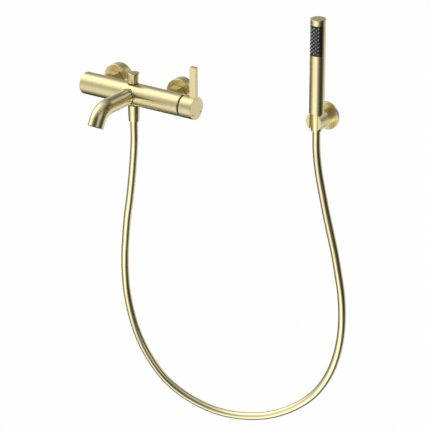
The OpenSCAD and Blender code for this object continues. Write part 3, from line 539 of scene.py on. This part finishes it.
# %% [markdown]
# Plastics, rubber, ceramic and enamel come out of moulds or off a grinding wheel. A mould leaves a fine
# spark grain, and the material itself is never quite even. One group gives both.

# %% Moulded finishes


def mould_grain_group():
    """Fine spark grain of a mould, and slow clouding of the material."""
    tree, inside, outside = node_group(
        "mould_grain", {"Vector": "Vector", "Size": "Float"}, {"Grain": "Float", "Cloud": "Float"})
    grain = add_node(tree, "ShaderNodeTexVoronoi")
    cloud = add_node(tree, "ShaderNodeTexNoise", inputs={"Scale": 60.0, "Detail": 2.0})
    wire(tree, (inside["Vector"], grain.inputs["Vector"]), (inside["Size"], grain.inputs["Scale"]),
         (inside["Vector"], cloud.inputs["Vector"]), (grain.outputs["Distance"], outside["Grain"]),
         (cloud.outputs["Fac"], outside["Cloud"]))
    return tree


mould_grain = mould_grain_group()


def moulded(name, dark, light, grain_size, rough_low, rough_high, grain_depth):
    """A plastic, rubber or ceramic with a fine grain and slight clouding between two colours."""
    dark, light = (*dark, 1), (*light, 1)
    material, tree, surface = shader_material(name)
    place = add_node(tree, "ShaderNodeTexCoord")
    group = add_node(tree, "ShaderNodeGroup", node_tree=mould_grain, inputs={"Size": grain_size})
    tone = add_node(tree, "ShaderNodeMix", data_type="RGBA", inputs={MIX_FROM: dark, MIX_TO: light})
    rough = add_node(tree, "ShaderNodeMapRange", inputs={
        "From Min": 0.0, "From Max": 0.7, "To Min": rough_low, "To Max": rough_high})
    bump = add_node(tree, "ShaderNodeBump", inputs={"Strength": 0.3, "Distance": grain_depth})
    wire(tree, (place.outputs["Object"], group.inputs["Vector"]), (group.outputs["Cloud"], tone),
         (tone.outputs[MIX_RESULT], surface["Base Color"]), (group.outputs["Grain"], rough),
         (rough, surface["Roughness"]), (group.outputs["Grain"], bump.inputs["Height"]),
         (bump, surface["Normal"]))
    return material


MOULDED = {
    "satin_black_panel": ((0.010, 0.010, 0.011), (0.018, 0.018, 0.019), 2600, 0.3, 0.5, 0.00004),
    # The black rubber colour below serves real rubber parts and also the rings of painted shade in the joints
    # further on.
    "seal_and_shade_rubber": ((0.012, 0.012, 0.012), (0.03, 0.03, 0.03), 1500, 0.55, 0.75, 0.00005),
    "pale_plastic": ((0.54, 0.54, 0.51), (0.63, 0.63, 0.6), 1800, 0.35, 0.5, 0.00003),
    "nozzle_silicone": ((0.76, 0.76, 0.76), (0.84, 0.84, 0.84), 2200, 0.35, 0.5, 0.00003),
    "disc_ceramic": ((0.8, 0.79, 0.74), (0.88, 0.87, 0.83), 3000, 0.1, 0.2, 0.00001),
    "hot_enamel": ((0.30, 0.07, 0.05), (0.36, 0.1, 0.07), 2500, 0.2, 0.3, 0.00001),
    "cold_enamel": ((0.03, 0.06, 0.2), (0.05, 0.09, 0.26), 2500, 0.2, 0.3, 0.00001),
}
panel_black, seal_and_shade_black, pale_plastic, nozzle_grey, disc_ceramic, hot_enamel, cold_enamel = [
    moulded(name, *values) for name, values in MOULDED.items()]
print("moulded finishes:", len(MOULDED))

# %% [markdown]
# The hose has a smooth gold skin over a wound inner strip. Under the skin the strip shows only as a very
# faint spiral, so it is a shallow bump that follows the UV map: one turn round for each step along.

# %% Hose finish
SPIRAL_PITCH = 2.2 * MM
SKIN_DARK = (0.835, 0.745, 0.425, 1)
SKIN_LIGHT = (0.875, 0.785, 0.455, 1)


def hose_skin():
    """Gold hose skin with the faint spiral of the strip inside it."""
    material, tree, surface = shader_material("hose_skin")
    uv = add_node(tree, "ShaderNodeUVMap", uv_map="hose_uv")
    split = add_node(tree, "ShaderNodeSeparateXYZ")
    steps = maths(tree, "DIVIDE", SPIRAL_PITCH)
    turn = maths(tree, "ADD")
    wave = maths(tree, "MULTIPLY", FULL_TURN)
    ridge = maths(tree, "SINE")
    bump = add_node(tree, "ShaderNodeBump", inputs={"Strength": 0.15, "Distance": 0.000004})
    place = add_node(tree, "ShaderNodeTexCoord")
    haze = add_node(tree, "ShaderNodeTexNoise", inputs={"Scale": HAZE_SCALE, "Detail": 3.0})
    tone = add_node(tree, "ShaderNodeMix", data_type="RGBA", inputs={MIX_FROM: SKIN_DARK, MIX_TO: SKIN_LIGHT})
    rough = add_node(tree, "ShaderNodeMapRange", inputs={
        "From Min": 0.3, "From Max": 0.7, "To Min": 0.16, "To Max": 0.2})
    wire(tree, (uv.outputs["UV"], split), (split.outputs["Y"], steps), (steps, turn),
         (split.outputs["X"], turn.inputs[1]), (turn, wave), (wave, ridge), (ridge, bump.inputs["Height"]),
         (bump, surface["Normal"]), (place.outputs["Object"], haze.inputs["Vector"]),
         (haze.outputs["Fac"], tone), (tone.outputs[MIX_RESULT], surface["Base Color"]),
         (haze.outputs["Fac"], rough), (rough, surface["Roughness"]))
    surface["Metallic"].default_value = 1.0
    return material


hose.data.materials.append(hose_skin())
print("hose finish ready")

# %% [markdown]
# Every solid gets its finish by name, and a metal also by the axis that its rings run round.

# %% Finishes of the solids
METAL_PIECES = {
    brushed_gold: {
        "body": ["mixer_body", "handle_cap"],
        "spout": ["spout", "aerator_housing"],
        "left_inlet": ["left_rosette", "left_union_nut"],
        "right_inlet": ["right_rosette", "right_union_nut"],
        "outlet": ["diverter_knob", "outlet_nipple", "lower_hose_nut"],
        "handset": ["handset_tube", "upper_hose_nut"],
        "holder": ["holder_arm", "holder_rosette"],
        "lever": ["lever_blade"],
    },
    turned_brass: {
        "body": ["retaining_nut"],
        "left_inlet": ["left_inlet_nipple", "left_eccentric_union"],
        "right_inlet": ["right_inlet_nipple", "right_eccentric_union"],
        "outlet": ["diverter_bonnet", "spindle_nut", "lower_hose_tail"],
        "handset": ["upper_hose_tail", "handset_inlet"],
        "holder": ["holder_stub"],
    },
    plain_steel: {
        "body": ["lever_stem", "tilt_pin", "handle_grub_screw"],
        "spout": ["spout_grub_screw"],
        "outlet": ["diverter_spindle", "diverter_spring"],
        "holder": ["holder_wall_screw", "holder_grub_screw"],
    },
}
MOULDED_PIECES = {
    seal_and_shade_black: ["spout_seal", "left_union_washer", "right_union_washer", "cartridge_seal", "spindle_seal",
                 "diverter_valve", "lower_hose_washer", "upper_hose_washer"],
    pale_plastic: ["aerator_insert", "left_check_valve", "right_check_valve", "cartridge_housing",
                   "cartridge_base", "disc_carrier", "handset_core", "holder_wall_plug"],
    panel_black: ["rotor", "spray_panel"],
    disc_ceramic: ["fixed_disc", "moving_disc"],
    nozzle_grey: ["nozzle_mat"],
    hot_enamel: ["hot_dot"],
    cold_enamel: ["cold_dot"],
    hose.data.materials[0]: ["hose"],
}


def dress(node_names, finish):
    """Gives all faces of some solids one finish, and counts the solids."""
    for node_name in node_names:
        obj = nodes[node_name]
        if not obj.material_slots:
            obj.data.materials.append(finish)
        for place in obj.material_slots:
            place.material = finish
    return len(node_names)


dressed = sum(dress(names, make(axis_name))
              for make, by_axis in METAL_PIECES.items() for axis_name, names in by_axis.items())
dressed += sum(dress(names, finish) for finish, names in MOULDED_PIECES.items())
print("dressed solids:", dressed, "of", len(nodes))

# %% [markdown]
# Pieces that repeat are grown by Geometry Nodes. A tree is a recipe with named inputs: change a size and
# the whole field follows. Three helpers serve every tree here. One starts a tree with its sockets, one
# ends it, and one runs it and keeps the result as a plain mesh, so nothing is worked out again later.

# %% Geometry node helpers


def geometry_tree(name, **inputs):
    """A new geometry tree with inputs of the given kinds and one geometry output."""
    return node_group(name, inputs, {"Geometry": "Geometry"}, "GeometryNodeTree")


def grow(name, tree, values):
    """A new object with the plain mesh that a tree makes from the given inputs."""
    obj = add_object(name, bpy.data.meshes.new(name))
    modifier = obj.modifiers.new(name, "NODES")
    modifier.node_group = tree
    sockets = {item.name: item.identifier for item in tree.interface.items_tree if item.in_out == "INPUT"}
    for label, value in values.items():
        modifier[sockets[label]] = value
    evaluated = obj.evaluated_get(bpy.context.evaluated_depsgraph_get())
    mesh = bpy.data.meshes.new_from_object(evaluated)
    obj.modifiers.clear()
    obj.data = mesh
    mesh.name = name
    return obj


def place_and_paint(tree, inside, outside, made, finish):
    """Ends a tree: what it made is moved to its Place, made real and given a finish. Returns the move."""
    move = add_node(tree, "GeometryNodeTransform")
    real = add_node(tree, "GeometryNodeRealizeInstances")
    paint = add_node(tree, "GeometryNodeSetMaterial", inputs={"Material": finish})
    wire(tree, (made, move), (inside["Place"], move.inputs["Translation"]), (move, real), (real, paint),
         (paint, outside["Geometry"]))
    return move


print("geometry helpers ready")

# %% [markdown]
# The spray face is one mat of soft silicone with nozzles standing on it. They poke out through holes in the
# black panel, and a thumb rubbed over them clears the limescale. Each nozzle is turned from a short profile:
# a tapered side, a rounded lip and a fine bore. Sizes are in millimetres from the middle of the mat.
# The lathe takes a profile that starts and ends on the axis, or one that closes on itself into a ring.

# %% Nozzle and mat
NOZZLE_ROOT = 11.15 * MM
NOZZLE_PROFILE = [
    (0, 0), (1.5, 0), (1.22, 3.45), (1.12, 3.7), (0.92, 3.84),
    (0.7, 3.8), (0.56, 3.6), (0.5, 3.3), (0.5, 2.2), (0, 2.2),
]
NOZZLE_SIDES = 16
NOZZLE_ROWS = 8
NOZZLE_STEP = math.radians(17.5)
NOZZLE_PITCH = 7 * MM
MAT_OUT = 11.8 * MM
MAT_IN = 10.5 * MM
MAT_HALF_ANGLE = math.radians(43)
MAT_HALF_LENGTH = 28 * MM
MAT_STEPS = 16


def lathe(name, profile, sides, sharp_angle):
    """A mesh turned round Z from (radius, height) pairs, with a point where the radius is nought."""
    bm = bmesh.new()
    rings = []
    for radius, height in profile:
        turns = [FULL_TURN * k / sides for k in range(sides if radius else 1)]
        rings.append([bm.verts.new((radius * math.cos(turn), radius * math.sin(turn), height))
                      for turn in turns])
    if profile[0][0]:
        rings.append(rings[0])
    for low, high in zip(rings, rings[1:]):
        for k in range(sides):
            n = (k + 1) % sides
            corners = [low[k % len(low)], low[n % len(low)], high[n % len(high)], high[k % len(high)]]
            bm.faces.new(list(dict.fromkeys(corners)))
    return close_mesh(bm, name, sharp_angle)


def mat_mesh():
    """A bent strip, closed on all sides, which faces -Y."""
    bm = bmesh.new()
    rows = []
    for k in range(MAT_STEPS + 1):
        a = MAT_HALF_ANGLE * (2 * k / MAT_STEPS - 1)
        rows.append([bm.verts.new((r * math.sin(a), -r * math.cos(a), h))
                     for r, h in ((MAT_IN, -MAT_HALF_LENGTH), (MAT_OUT, -MAT_HALF_LENGTH),
                                  (MAT_OUT, MAT_HALF_LENGTH), (MAT_IN, MAT_HALF_LENGTH))])
    for a, b in zip(rows, rows[1:]):
        for k in range(4):
            bm.faces.new((a[k], a[(k + 1) % 4], b[(k + 1) % 4], b[k]))
    bm.faces.new(rows[0])
    bm.faces.new(list(reversed(rows[-1])))
    return close_mesh(bm, "mat", sharp_angle=40)


nozzle_mesh = lathe("nozzle", [(r * MM, h * MM) for r, h in NOZZLE_PROFILE], NOZZLE_SIDES, sharp_angle=50)
nozzle_seed = add_object("nozzle_seed", nozzle_mesh)
mat_seed = add_object("mat_seed", mat_mesh())
print("nozzle faces:", len(nozzle_seed.data.polygons))

# %% [markdown]
# The nozzles stand in five columns, every second one a half step lower. That is two lattices on a cylinder:
# three columns of eight and two columns of seven between them. The lattice is a flat grid whose X is read
# as an angle and whose Y is a height. It is bent round the axis, and every nozzle is turned to face outwards.

# %% Nozzle field


def lattice_tree():
    """Nozzles on a grid that is bent round Z."""
    tree, inside, outside = geometry_tree(
        "nozzle_lattice", Nozzle="Object", Columns="Int", Rows="Int", Step="Float", Pitch="Float",
        Radius="Float")
    gaps = [maths(tree, "SUBTRACT", 1.0) for k in range(2)]
    sizes = [maths(tree, "MULTIPLY") for k in range(2)]
    grid = add_node(tree, "GeometryNodeMeshGrid")
    flat = add_node(tree, "GeometryNodeInputPosition")
    split = add_node(tree, "ShaderNodeSeparateXYZ")
    sine = maths(tree, "SINE")
    cosine = maths(tree, "COSINE")
    across = maths(tree, "MULTIPLY")
    depth = maths(tree, "MULTIPLY")
    front = maths(tree, "MULTIPLY", -1.0)
    bent = add_node(tree, "ShaderNodeCombineXYZ")
    bend = add_node(tree, "GeometryNodeSetPosition")
    place = add_node(tree, "GeometryNodeInputPosition")
    level = vectors(tree, "MULTIPLY", (1, 1, 0))
    facing = add_node(tree, "FunctionNodeAlignRotationToVector", axis="Z")
    seed = add_node(tree, "GeometryNodeObjectInfo")
    plant = add_node(tree, "GeometryNodeInstanceOnPoints")
    wire(tree, (inside["Columns"], gaps[0]), (inside["Rows"], gaps[1]), (gaps[0], sizes[0]),
         (inside["Step"], sizes[0].inputs[1]), (gaps[1], sizes[1]), (inside["Pitch"], sizes[1].inputs[1]),
         (sizes[0], grid.inputs["Size X"]), (sizes[1], grid.inputs["Size Y"]),
         (inside["Columns"], grid.inputs["Vertices X"]), (inside["Rows"], grid.inputs["Vertices Y"]),
         (flat, split), (split.outputs["X"], sine), (split.outputs["X"], cosine), (sine, across),
         (inside["Radius"], across.inputs[1]), (cosine, depth), (inside["Radius"], depth.inputs[1]),
         (depth, front), (across, bent), (front, bent.inputs[1]), (split.outputs["Y"], bent.inputs[2]),
         (grid.outputs["Mesh"], bend), (bent, bend.inputs["Position"]), (place, level),
         (level, facing.inputs["Vector"]), (inside["Nozzle"], seed.inputs["Object"]),
         (bend, plant.inputs["Points"]), (seed.outputs["Geometry"], plant.inputs["Instance"]),
         (facing, plant.inputs["Rotation"]), (plant, outside["Geometry"]))
    return tree


def field_tree(lattice, finish):
    """The mat with its two lattices of nozzles, at its place in the handset."""
    tree, inside, outside = geometry_tree(
        "nozzle_field", Nozzle="Object", Mat="Object", Rows="Int", Step="Float", Pitch="Float",
        Radius="Float", Place="Vector")
    wide = maths(tree, "MULTIPLY", 2.0)
    fewer = maths(tree, "SUBTRACT", 1.0)
    mat = add_node(tree, "GeometryNodeObjectInfo")
    join = add_node(tree, "GeometryNodeJoinGeometry")
    wire(tree, (inside["Step"], wide), (inside["Rows"], fewer))
    for columns, rows in ((3, inside["Rows"]), (2, fewer)):
        group = add_node(tree, "GeometryNodeGroup", node_tree=lattice, inputs={"Columns": columns})
        wire(tree, (rows, group.inputs["Rows"]), (wide, group.inputs["Step"]),
             *[(inside[label], group.inputs[label]) for label in ("Nozzle", "Pitch", "Radius")],
             (group, join))
    wire(tree, (inside["Mat"], mat.inputs["Object"]), (mat.outputs["Geometry"], join))
    place_and_paint(tree, inside, outside, join, finish)
    return tree


handset_axis = middle("handset_tube")
panel_middle = Vector((handset_axis.x, handset_axis.y, middle("spray_panel").z))
nozzle_field = grow("nozzle_field", field_tree(lattice_tree(), nozzle_grey), {
    "Nozzle": nozzle_seed, "Mat": mat_seed, "Rows": NOZZLE_ROWS, "Step": NOZZLE_STEP, "Pitch": NOZZLE_PITCH,
    "Radius": NOZZLE_ROOT, "Place": panel_middle})
for seed in (nozzle_seed, mat_seed):
    bpy.data.objects.remove(seed)
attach(nozzle_field, "handset")
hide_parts("nozzle_mat")
print("nozzle field faces:", len(nozzle_field.data.polygons))

# %% [markdown]
# The spout ends in an aerator. Its insert is moulded as a honeycomb, which straightens the water and draws
# air into it. The solid has a few round holes in its place. Here two oblong grids of points, one set half a
# step into the other, make a honeycomb lattice: each point within the rim gets one six-sided cell, and the
# whole is tilted into the mouth of the spout.

# %% Aerator honeycomb
CELL_PITCH = 2.5 * MM
CELL_WALL = 0.35 * MM
CELL_COUNT = 9
CELL_MARGIN = 0.3 * MM
RING_SIDES = 72
RIM_OUT = 11.4 * MM
RIM_IN = 10.2 * MM
INSERT_DEPTH = 5.5 * MM
SPOUT_TILT = math.radians(150)


def flat_ring(name, inner, outer, low, high, sides):
    """A closed flat ring round Z, between two heights."""
    return lathe(name, [(inner, low), (outer, low), (outer, high), (inner, high)], sides, sharp_angle=30)


def honeycomb_tree(finish):
    """Six-sided cells on a honeycomb lattice, kept within a radius, with a rim round them."""
    tree, inside, outside = geometry_tree(
        "honeycomb", Cell="Object", Rim="Object", Count="Int", Pitch="Float", Radius="Float", Tilt="Float",
        Place="Vector")
    row = maths(tree, "MULTIPLY", math.sqrt(3))
    gaps = maths(tree, "SUBTRACT", 1.0)
    wide = maths(tree, "MULTIPLY")
    high = maths(tree, "MULTIPLY")
    steps = add_node(tree, "ShaderNodeCombineXYZ")
    half = add_node(tree, "ShaderNodeVectorMath", operation="SCALE", inputs={"Scale": 0.5})
    grid = add_node(tree, "GeometryNodeMeshGrid")
    shift = add_node(tree, "GeometryNodeTransform")
    lattice = add_node(tree, "GeometryNodeJoinGeometry")
    place = add_node(tree, "GeometryNodeInputPosition")
    reach = vectors(tree, "LENGTH")
    beyond = maths(tree, "GREATER_THAN")
    trim = add_node(tree, "GeometryNodeDeleteGeometry")
    cell = add_node(tree, "GeometryNodeObjectInfo")
    rim = add_node(tree, "GeometryNodeObjectInfo")
    plant = add_node(tree, "GeometryNodeInstanceOnPoints")
    both = add_node(tree, "GeometryNodeJoinGeometry")
    lean = add_node(tree, "ShaderNodeCombineXYZ")
    turn = add_node(tree, "FunctionNodeEulerToRotation")
    move = place_and_paint(tree, inside, outside, both, finish)
    wire(tree, (inside["Pitch"], row), (inside["Count"], gaps), (gaps, wide),
         (inside["Pitch"], wide.inputs[1]), (gaps, high), (row, high.inputs[1]),
         (inside["Count"], grid.inputs["Vertices X"]), (inside["Count"], grid.inputs["Vertices Y"]),
         (wide, grid.inputs["Size X"]), (high, grid.inputs["Size Y"]), (inside["Pitch"], steps),
         (row, steps.inputs[1]), (steps, half), (half, shift.inputs["Translation"]),
         (grid.outputs["Mesh"], shift.inputs["Geometry"]), (grid.outputs["Mesh"], lattice),
         (shift, lattice), (place, reach), (reach.outputs["Value"], beyond),
         (inside["Radius"], beyond.inputs[1]), (lattice, trim.inputs["Geometry"]),
         (beyond, trim.inputs["Selection"]), (inside["Cell"], cell.inputs["Object"]),
         (inside["Rim"], rim.inputs["Object"]), (trim, plant.inputs["Points"]),
         (cell.outputs["Geometry"], plant.inputs["Instance"]), (plant, both),
         (rim.outputs["Geometry"], both), (inside["Tilt"], lean), (lean, turn),
         (turn, move.inputs["Rotation"]))
    return tree


cell_out = CELL_PITCH / math.sqrt(3)
cell_mesh = flat_ring("cell", cell_out - CELL_WALL, cell_out, -INSERT_DEPTH / 2, INSERT_DEPTH / 2, sides=6)
cell_mesh.transform(Matrix.Rotation(math.radians(30), 4, "Z"))
cell_seed = add_object("cell_seed", cell_mesh)
rim_mesh = flat_ring("rim", RIM_IN, RIM_OUT, -INSERT_DEPTH / 2, INSERT_DEPTH / 2, RING_SIDES)
rim_seed = add_object("rim_seed", rim_mesh)
honeycomb = grow("aerator_honeycomb", honeycomb_tree(pale_plastic), {
    "Cell": cell_seed, "Rim": rim_seed, "Count": CELL_COUNT, "Pitch": CELL_PITCH,
    "Radius": RIM_IN - CELL_MARGIN, "Tilt": SPOUT_TILT, "Place": middle("aerator_insert")})
for seed in (cell_seed, rim_seed):
    bpy.data.objects.remove(seed)
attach(honeycomb, "fixed")
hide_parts("aerator_insert")
print("honeycomb faces:", len(honeycomb.data.polygons))

# %% [markdown]
# The two wall connections end in pipe threads, which a die cuts into a plain stud. The solids keep them as
# plain studs at the full diameter. Here the stud of a copy is turned down to the root of the thread, and a
# pointed ridge is swept up a spiral round it, one pitch for each turn, out to the full diameter. The copy
# brings along the shading of the plain stud, which no longer fits it and is dropped.

# %% Wall threads
STUD_RADIUS = 10.475 * MM
THREAD_DEPTH = 1.16 * MM
THREAD_PITCH = 1.814 * MM
THREAD_START = -2 * MM
STUD_FOOT = -14 * MM
ROUND_OFF = 0.03 * MM
SAME_POINT = 0.003 * MM
TRIANGLE_HEIGHT, TRIANGLE_SIDE = 1.5, math.sqrt(3)


def spiral_line(tree, resolution, turns, height, radius):
    """A spiral round Z, from the sources of its turns, height and radius."""
    spiral = add_node(tree, "GeometryNodeCurveSpiral", inputs={"Resolution": resolution})
    wire(tree, (turns, spiral.inputs["Rotations"]), (height, spiral.inputs["Height"]),
         (radius, spiral.inputs["Start Radius"]), (radius, spiral.inputs["End Radius"]))
    return spiral


def thread_tree(finish):
    """A ridge swept up a spiral round Y. Its profile is a triangle in a circle of radius one, stretched."""
    tree, inside, outside = geometry_tree(
        "thread", Radius="Float", Depth="Float", Pitch="Float", Length="Float", Place="Vector")
    turns = maths(tree, "DIVIDE")
    unit = maths(tree, "DIVIDE", TRIANGLE_HEIGHT)
    pull = maths(tree, "SUBTRACT")
    width = maths(tree, "DIVIDE", TRIANGLE_SIDE)
    size = add_node(tree, "ShaderNodeCombineXYZ", inputs={2: 1.0})
    spiral = spiral_line(tree, 48, turns, inside["Length"], pull)
    upright = add_node(tree, "GeometryNodeSetCurveNormal", mode="Z_UP")
    corner = add_node(tree, "GeometryNodeCurvePrimitiveCircle", inputs={"Resolution": 3, "Radius": 1.0})
    point = add_node(tree, "GeometryNodeTransform", inputs={"Rotation": (0, 0, math.pi)})
    sweep = add_node(tree, "GeometryNodeCurveToMesh", inputs={"Fill Caps": True})
    move = place_and_paint(tree, inside, outside, sweep, finish)
    move.inputs["Rotation"].default_value = (-math.pi / 2, 0, 0)
    wire(tree, (inside["Length"], turns), (inside["Pitch"], turns.inputs[1]), (inside["Depth"], unit),
         (inside["Radius"], pull), (unit, pull.inputs[1]), (inside["Pitch"], width), (unit, size),
         (width, size.inputs[1]), (spiral, upright.inputs["Curve"]),
         (corner.outputs["Curve"], point.inputs["Geometry"]), (size, point.inputs["Scale"]),
         (upright, sweep.inputs["Curve"]), (point, sweep.inputs["Profile Curve"]))
    return tree


def threaded_union(side):
    """A copy of an eccentric union with a real thread on its stud."""
    node = nodes[side + "_eccentric_union"]
    finish = node.material_slots[0].material
    centre = Vector((middle(side + "_rosette").x, 0, 0))
    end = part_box(side + "_eccentric_union")[1].y
    first_turn = centre + Vector((0, THREAD_START + THREAD_PITCH / 2, 0))
    ridge = grow(side + "_ridge", thread_tree(finish), {
        "Radius": STUD_RADIUS, "Depth": THREAD_DEPTH, "Pitch": THREAD_PITCH,
        "Length": end - THREAD_START - THREAD_PITCH, "Place": first_turn})
    bm = bmesh.new()
    bm.from_mesh(node.data)
    bm.transform(node.matrix_world)
    bmesh.ops.remove_doubles(bm, verts=bm.verts, dist=SAME_POINT)
    for vert in bm.verts:
        arm = Vector((vert.co.x - centre.x, 0, vert.co.z - centre.z))
        if abs(arm.length - STUD_RADIUS) < ROUND_OFF and vert.co.y > STUD_FOOT:
            vert.co -= arm.normalized() * THREAD_DEPTH
    bm.from_mesh(ridge.data)
    bpy.data.objects.remove(ridge)
    mesh = close_mesh(bm, side + "_threaded_union", sharp_angle=30)
    obj = add_object(side + "_threaded_union", mesh)
    obj.data.materials.append(finish)
    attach(obj, "fixed")
    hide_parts(side + "_eccentric_union")
    reach = max(math.hypot(v.co.x - centre.x, v.co.z) for v in mesh.vertices if v.co.y > 0)
    return side, len(mesh.polygons), round(reach, 5)


print("threaded unions:", [threaded_union(side) for side in ("left", "right")])

# %% [markdown]
# Inside the body a spring pushes the diverter down again when the water stops. It is wound from steel wire
# on a mandrel. Lifting the knob shortens it. Here the coil is wound again as a circle swept along a spiral,
# as long as the solid spring, and it stays with the mixer.

# %% Diverter spring
COIL_RADIUS = 5 * MM
COIL_WIRE = 0.4 * MM
COIL_TURNS = 5


def coil_tree(finish):
    """A wire wound into a coil that stands on Z."""
    tree, inside, outside = geometry_tree(
        "coil", Turns="Float", Radius="Float", Wire="Float", Height="Float", Place="Vector")
    spiral = spiral_line(tree, 24, inside["Turns"], inside["Height"], inside["Radius"])
    circle = add_node(tree, "GeometryNodeCurvePrimitiveCircle", inputs={"Resolution": 10})
    sweep = add_node(tree, "GeometryNodeCurveToMesh", inputs={"Fill Caps": True})
    wire(tree, (inside["Wire"], circle.inputs["Radius"]), (spiral, sweep.inputs["Curve"]),
         (circle.outputs["Curve"], sweep.inputs["Profile Curve"]))
    place_and_paint(tree, inside, outside, sweep, finish)
    return tree


coil_low, coil_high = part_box("diverter_spring")
coil_length = coil_high.z - coil_low.z
coil_foot = Vector((middle("diverter_knob").x, middle("diverter_knob").y, coil_low.z + COIL_WIRE))
coil_steel = nodes["diverter_spindle"].material_slots[0].material
coil = grow("diverter_coil", coil_tree(coil_steel), {
    "Turns": COIL_TURNS, "Radius": COIL_RADIUS, "Wire": COIL_WIRE,
    "Height": coil_length - 2 * COIL_WIRE, "Place": coil_foot})
smooth_faces(coil.data, sharp_angle=60)
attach(coil, "fixed")
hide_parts("diverter_spring")
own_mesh(coil)
print("coil faces:", len(coil.data.polygons), "length:", round(coil_length, 5))

# %% [markdown]
# Where two gold pieces meet, the joint lies in shade and shows as a dark line. That shade is painted here
# with thin black rings: one between the body and the spout, one under the diverter knob and one above the
# hose nut. Each is a plain flat ring of painted shade, and its place comes from the solids beside it.

# %% Rings of painted shade
SHADE_RING_CLEARANCE = 0.05 * MM
SPIGOT_LENGTH = 12 * MM
KNOB_SHADE_DROP = 1.75 * MM
KNOB_SHADE_GAP = 0.1 * MM
OUTLET_SHADE_HEIGHT = 1.45 * MM


def painted_shade_ring(name, inner, outer, low, high, place):
    """A black ring of painted shade, of two radii in millimetres, that stays with the mixer, put in place by
    a matrix.
    """
    mesh = flat_ring(name, inner * MM, outer * MM, low + SHADE_RING_CLEARANCE, high - SHADE_RING_CLEARANCE, RING_SIDES)
    mesh.transform(place)
    obj = add_object(name, mesh)
    obj.data.materials.append(seal_and_shade_black)
    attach(obj, "fixed")
    return obj


outlet_axis = middle("diverter_knob")
upright = Matrix.Translation((outlet_axis.x, outlet_axis.y, 0))
spout_axis = Matrix.Translation((outlet_axis.x, 0, middle("handle_cap").z))
forward = spout_axis @ Matrix.Rotation(math.radians(90), 4, "X")
boss_face = -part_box("mixer_body")[0].y
spout_face = SPIGOT_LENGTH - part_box("spout")[1].y
knob_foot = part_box("diverter_knob")[0].z
nut_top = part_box("lower_hose_nut")[1].z
painted_shade_rings = [
    # Each ring is painted shade: a black ring put in a joint where only shade falls, to draw its dark line.
    painted_shade_ring("spout_gasket", 11.4, 15.8, boss_face, spout_face, forward),
    painted_shade_ring("knob_wiper", 7.2, 9.6, knob_foot - KNOB_SHADE_DROP, knob_foot - KNOB_SHADE_GAP, upright),
    painted_shade_ring("outlet_washer", 11.0, 11.4, nut_top, nut_top + OUTLET_SHADE_HEIGHT, upright),
]
print("seal rings:", [dark_ring.name for dark_ring in painted_shade_rings])
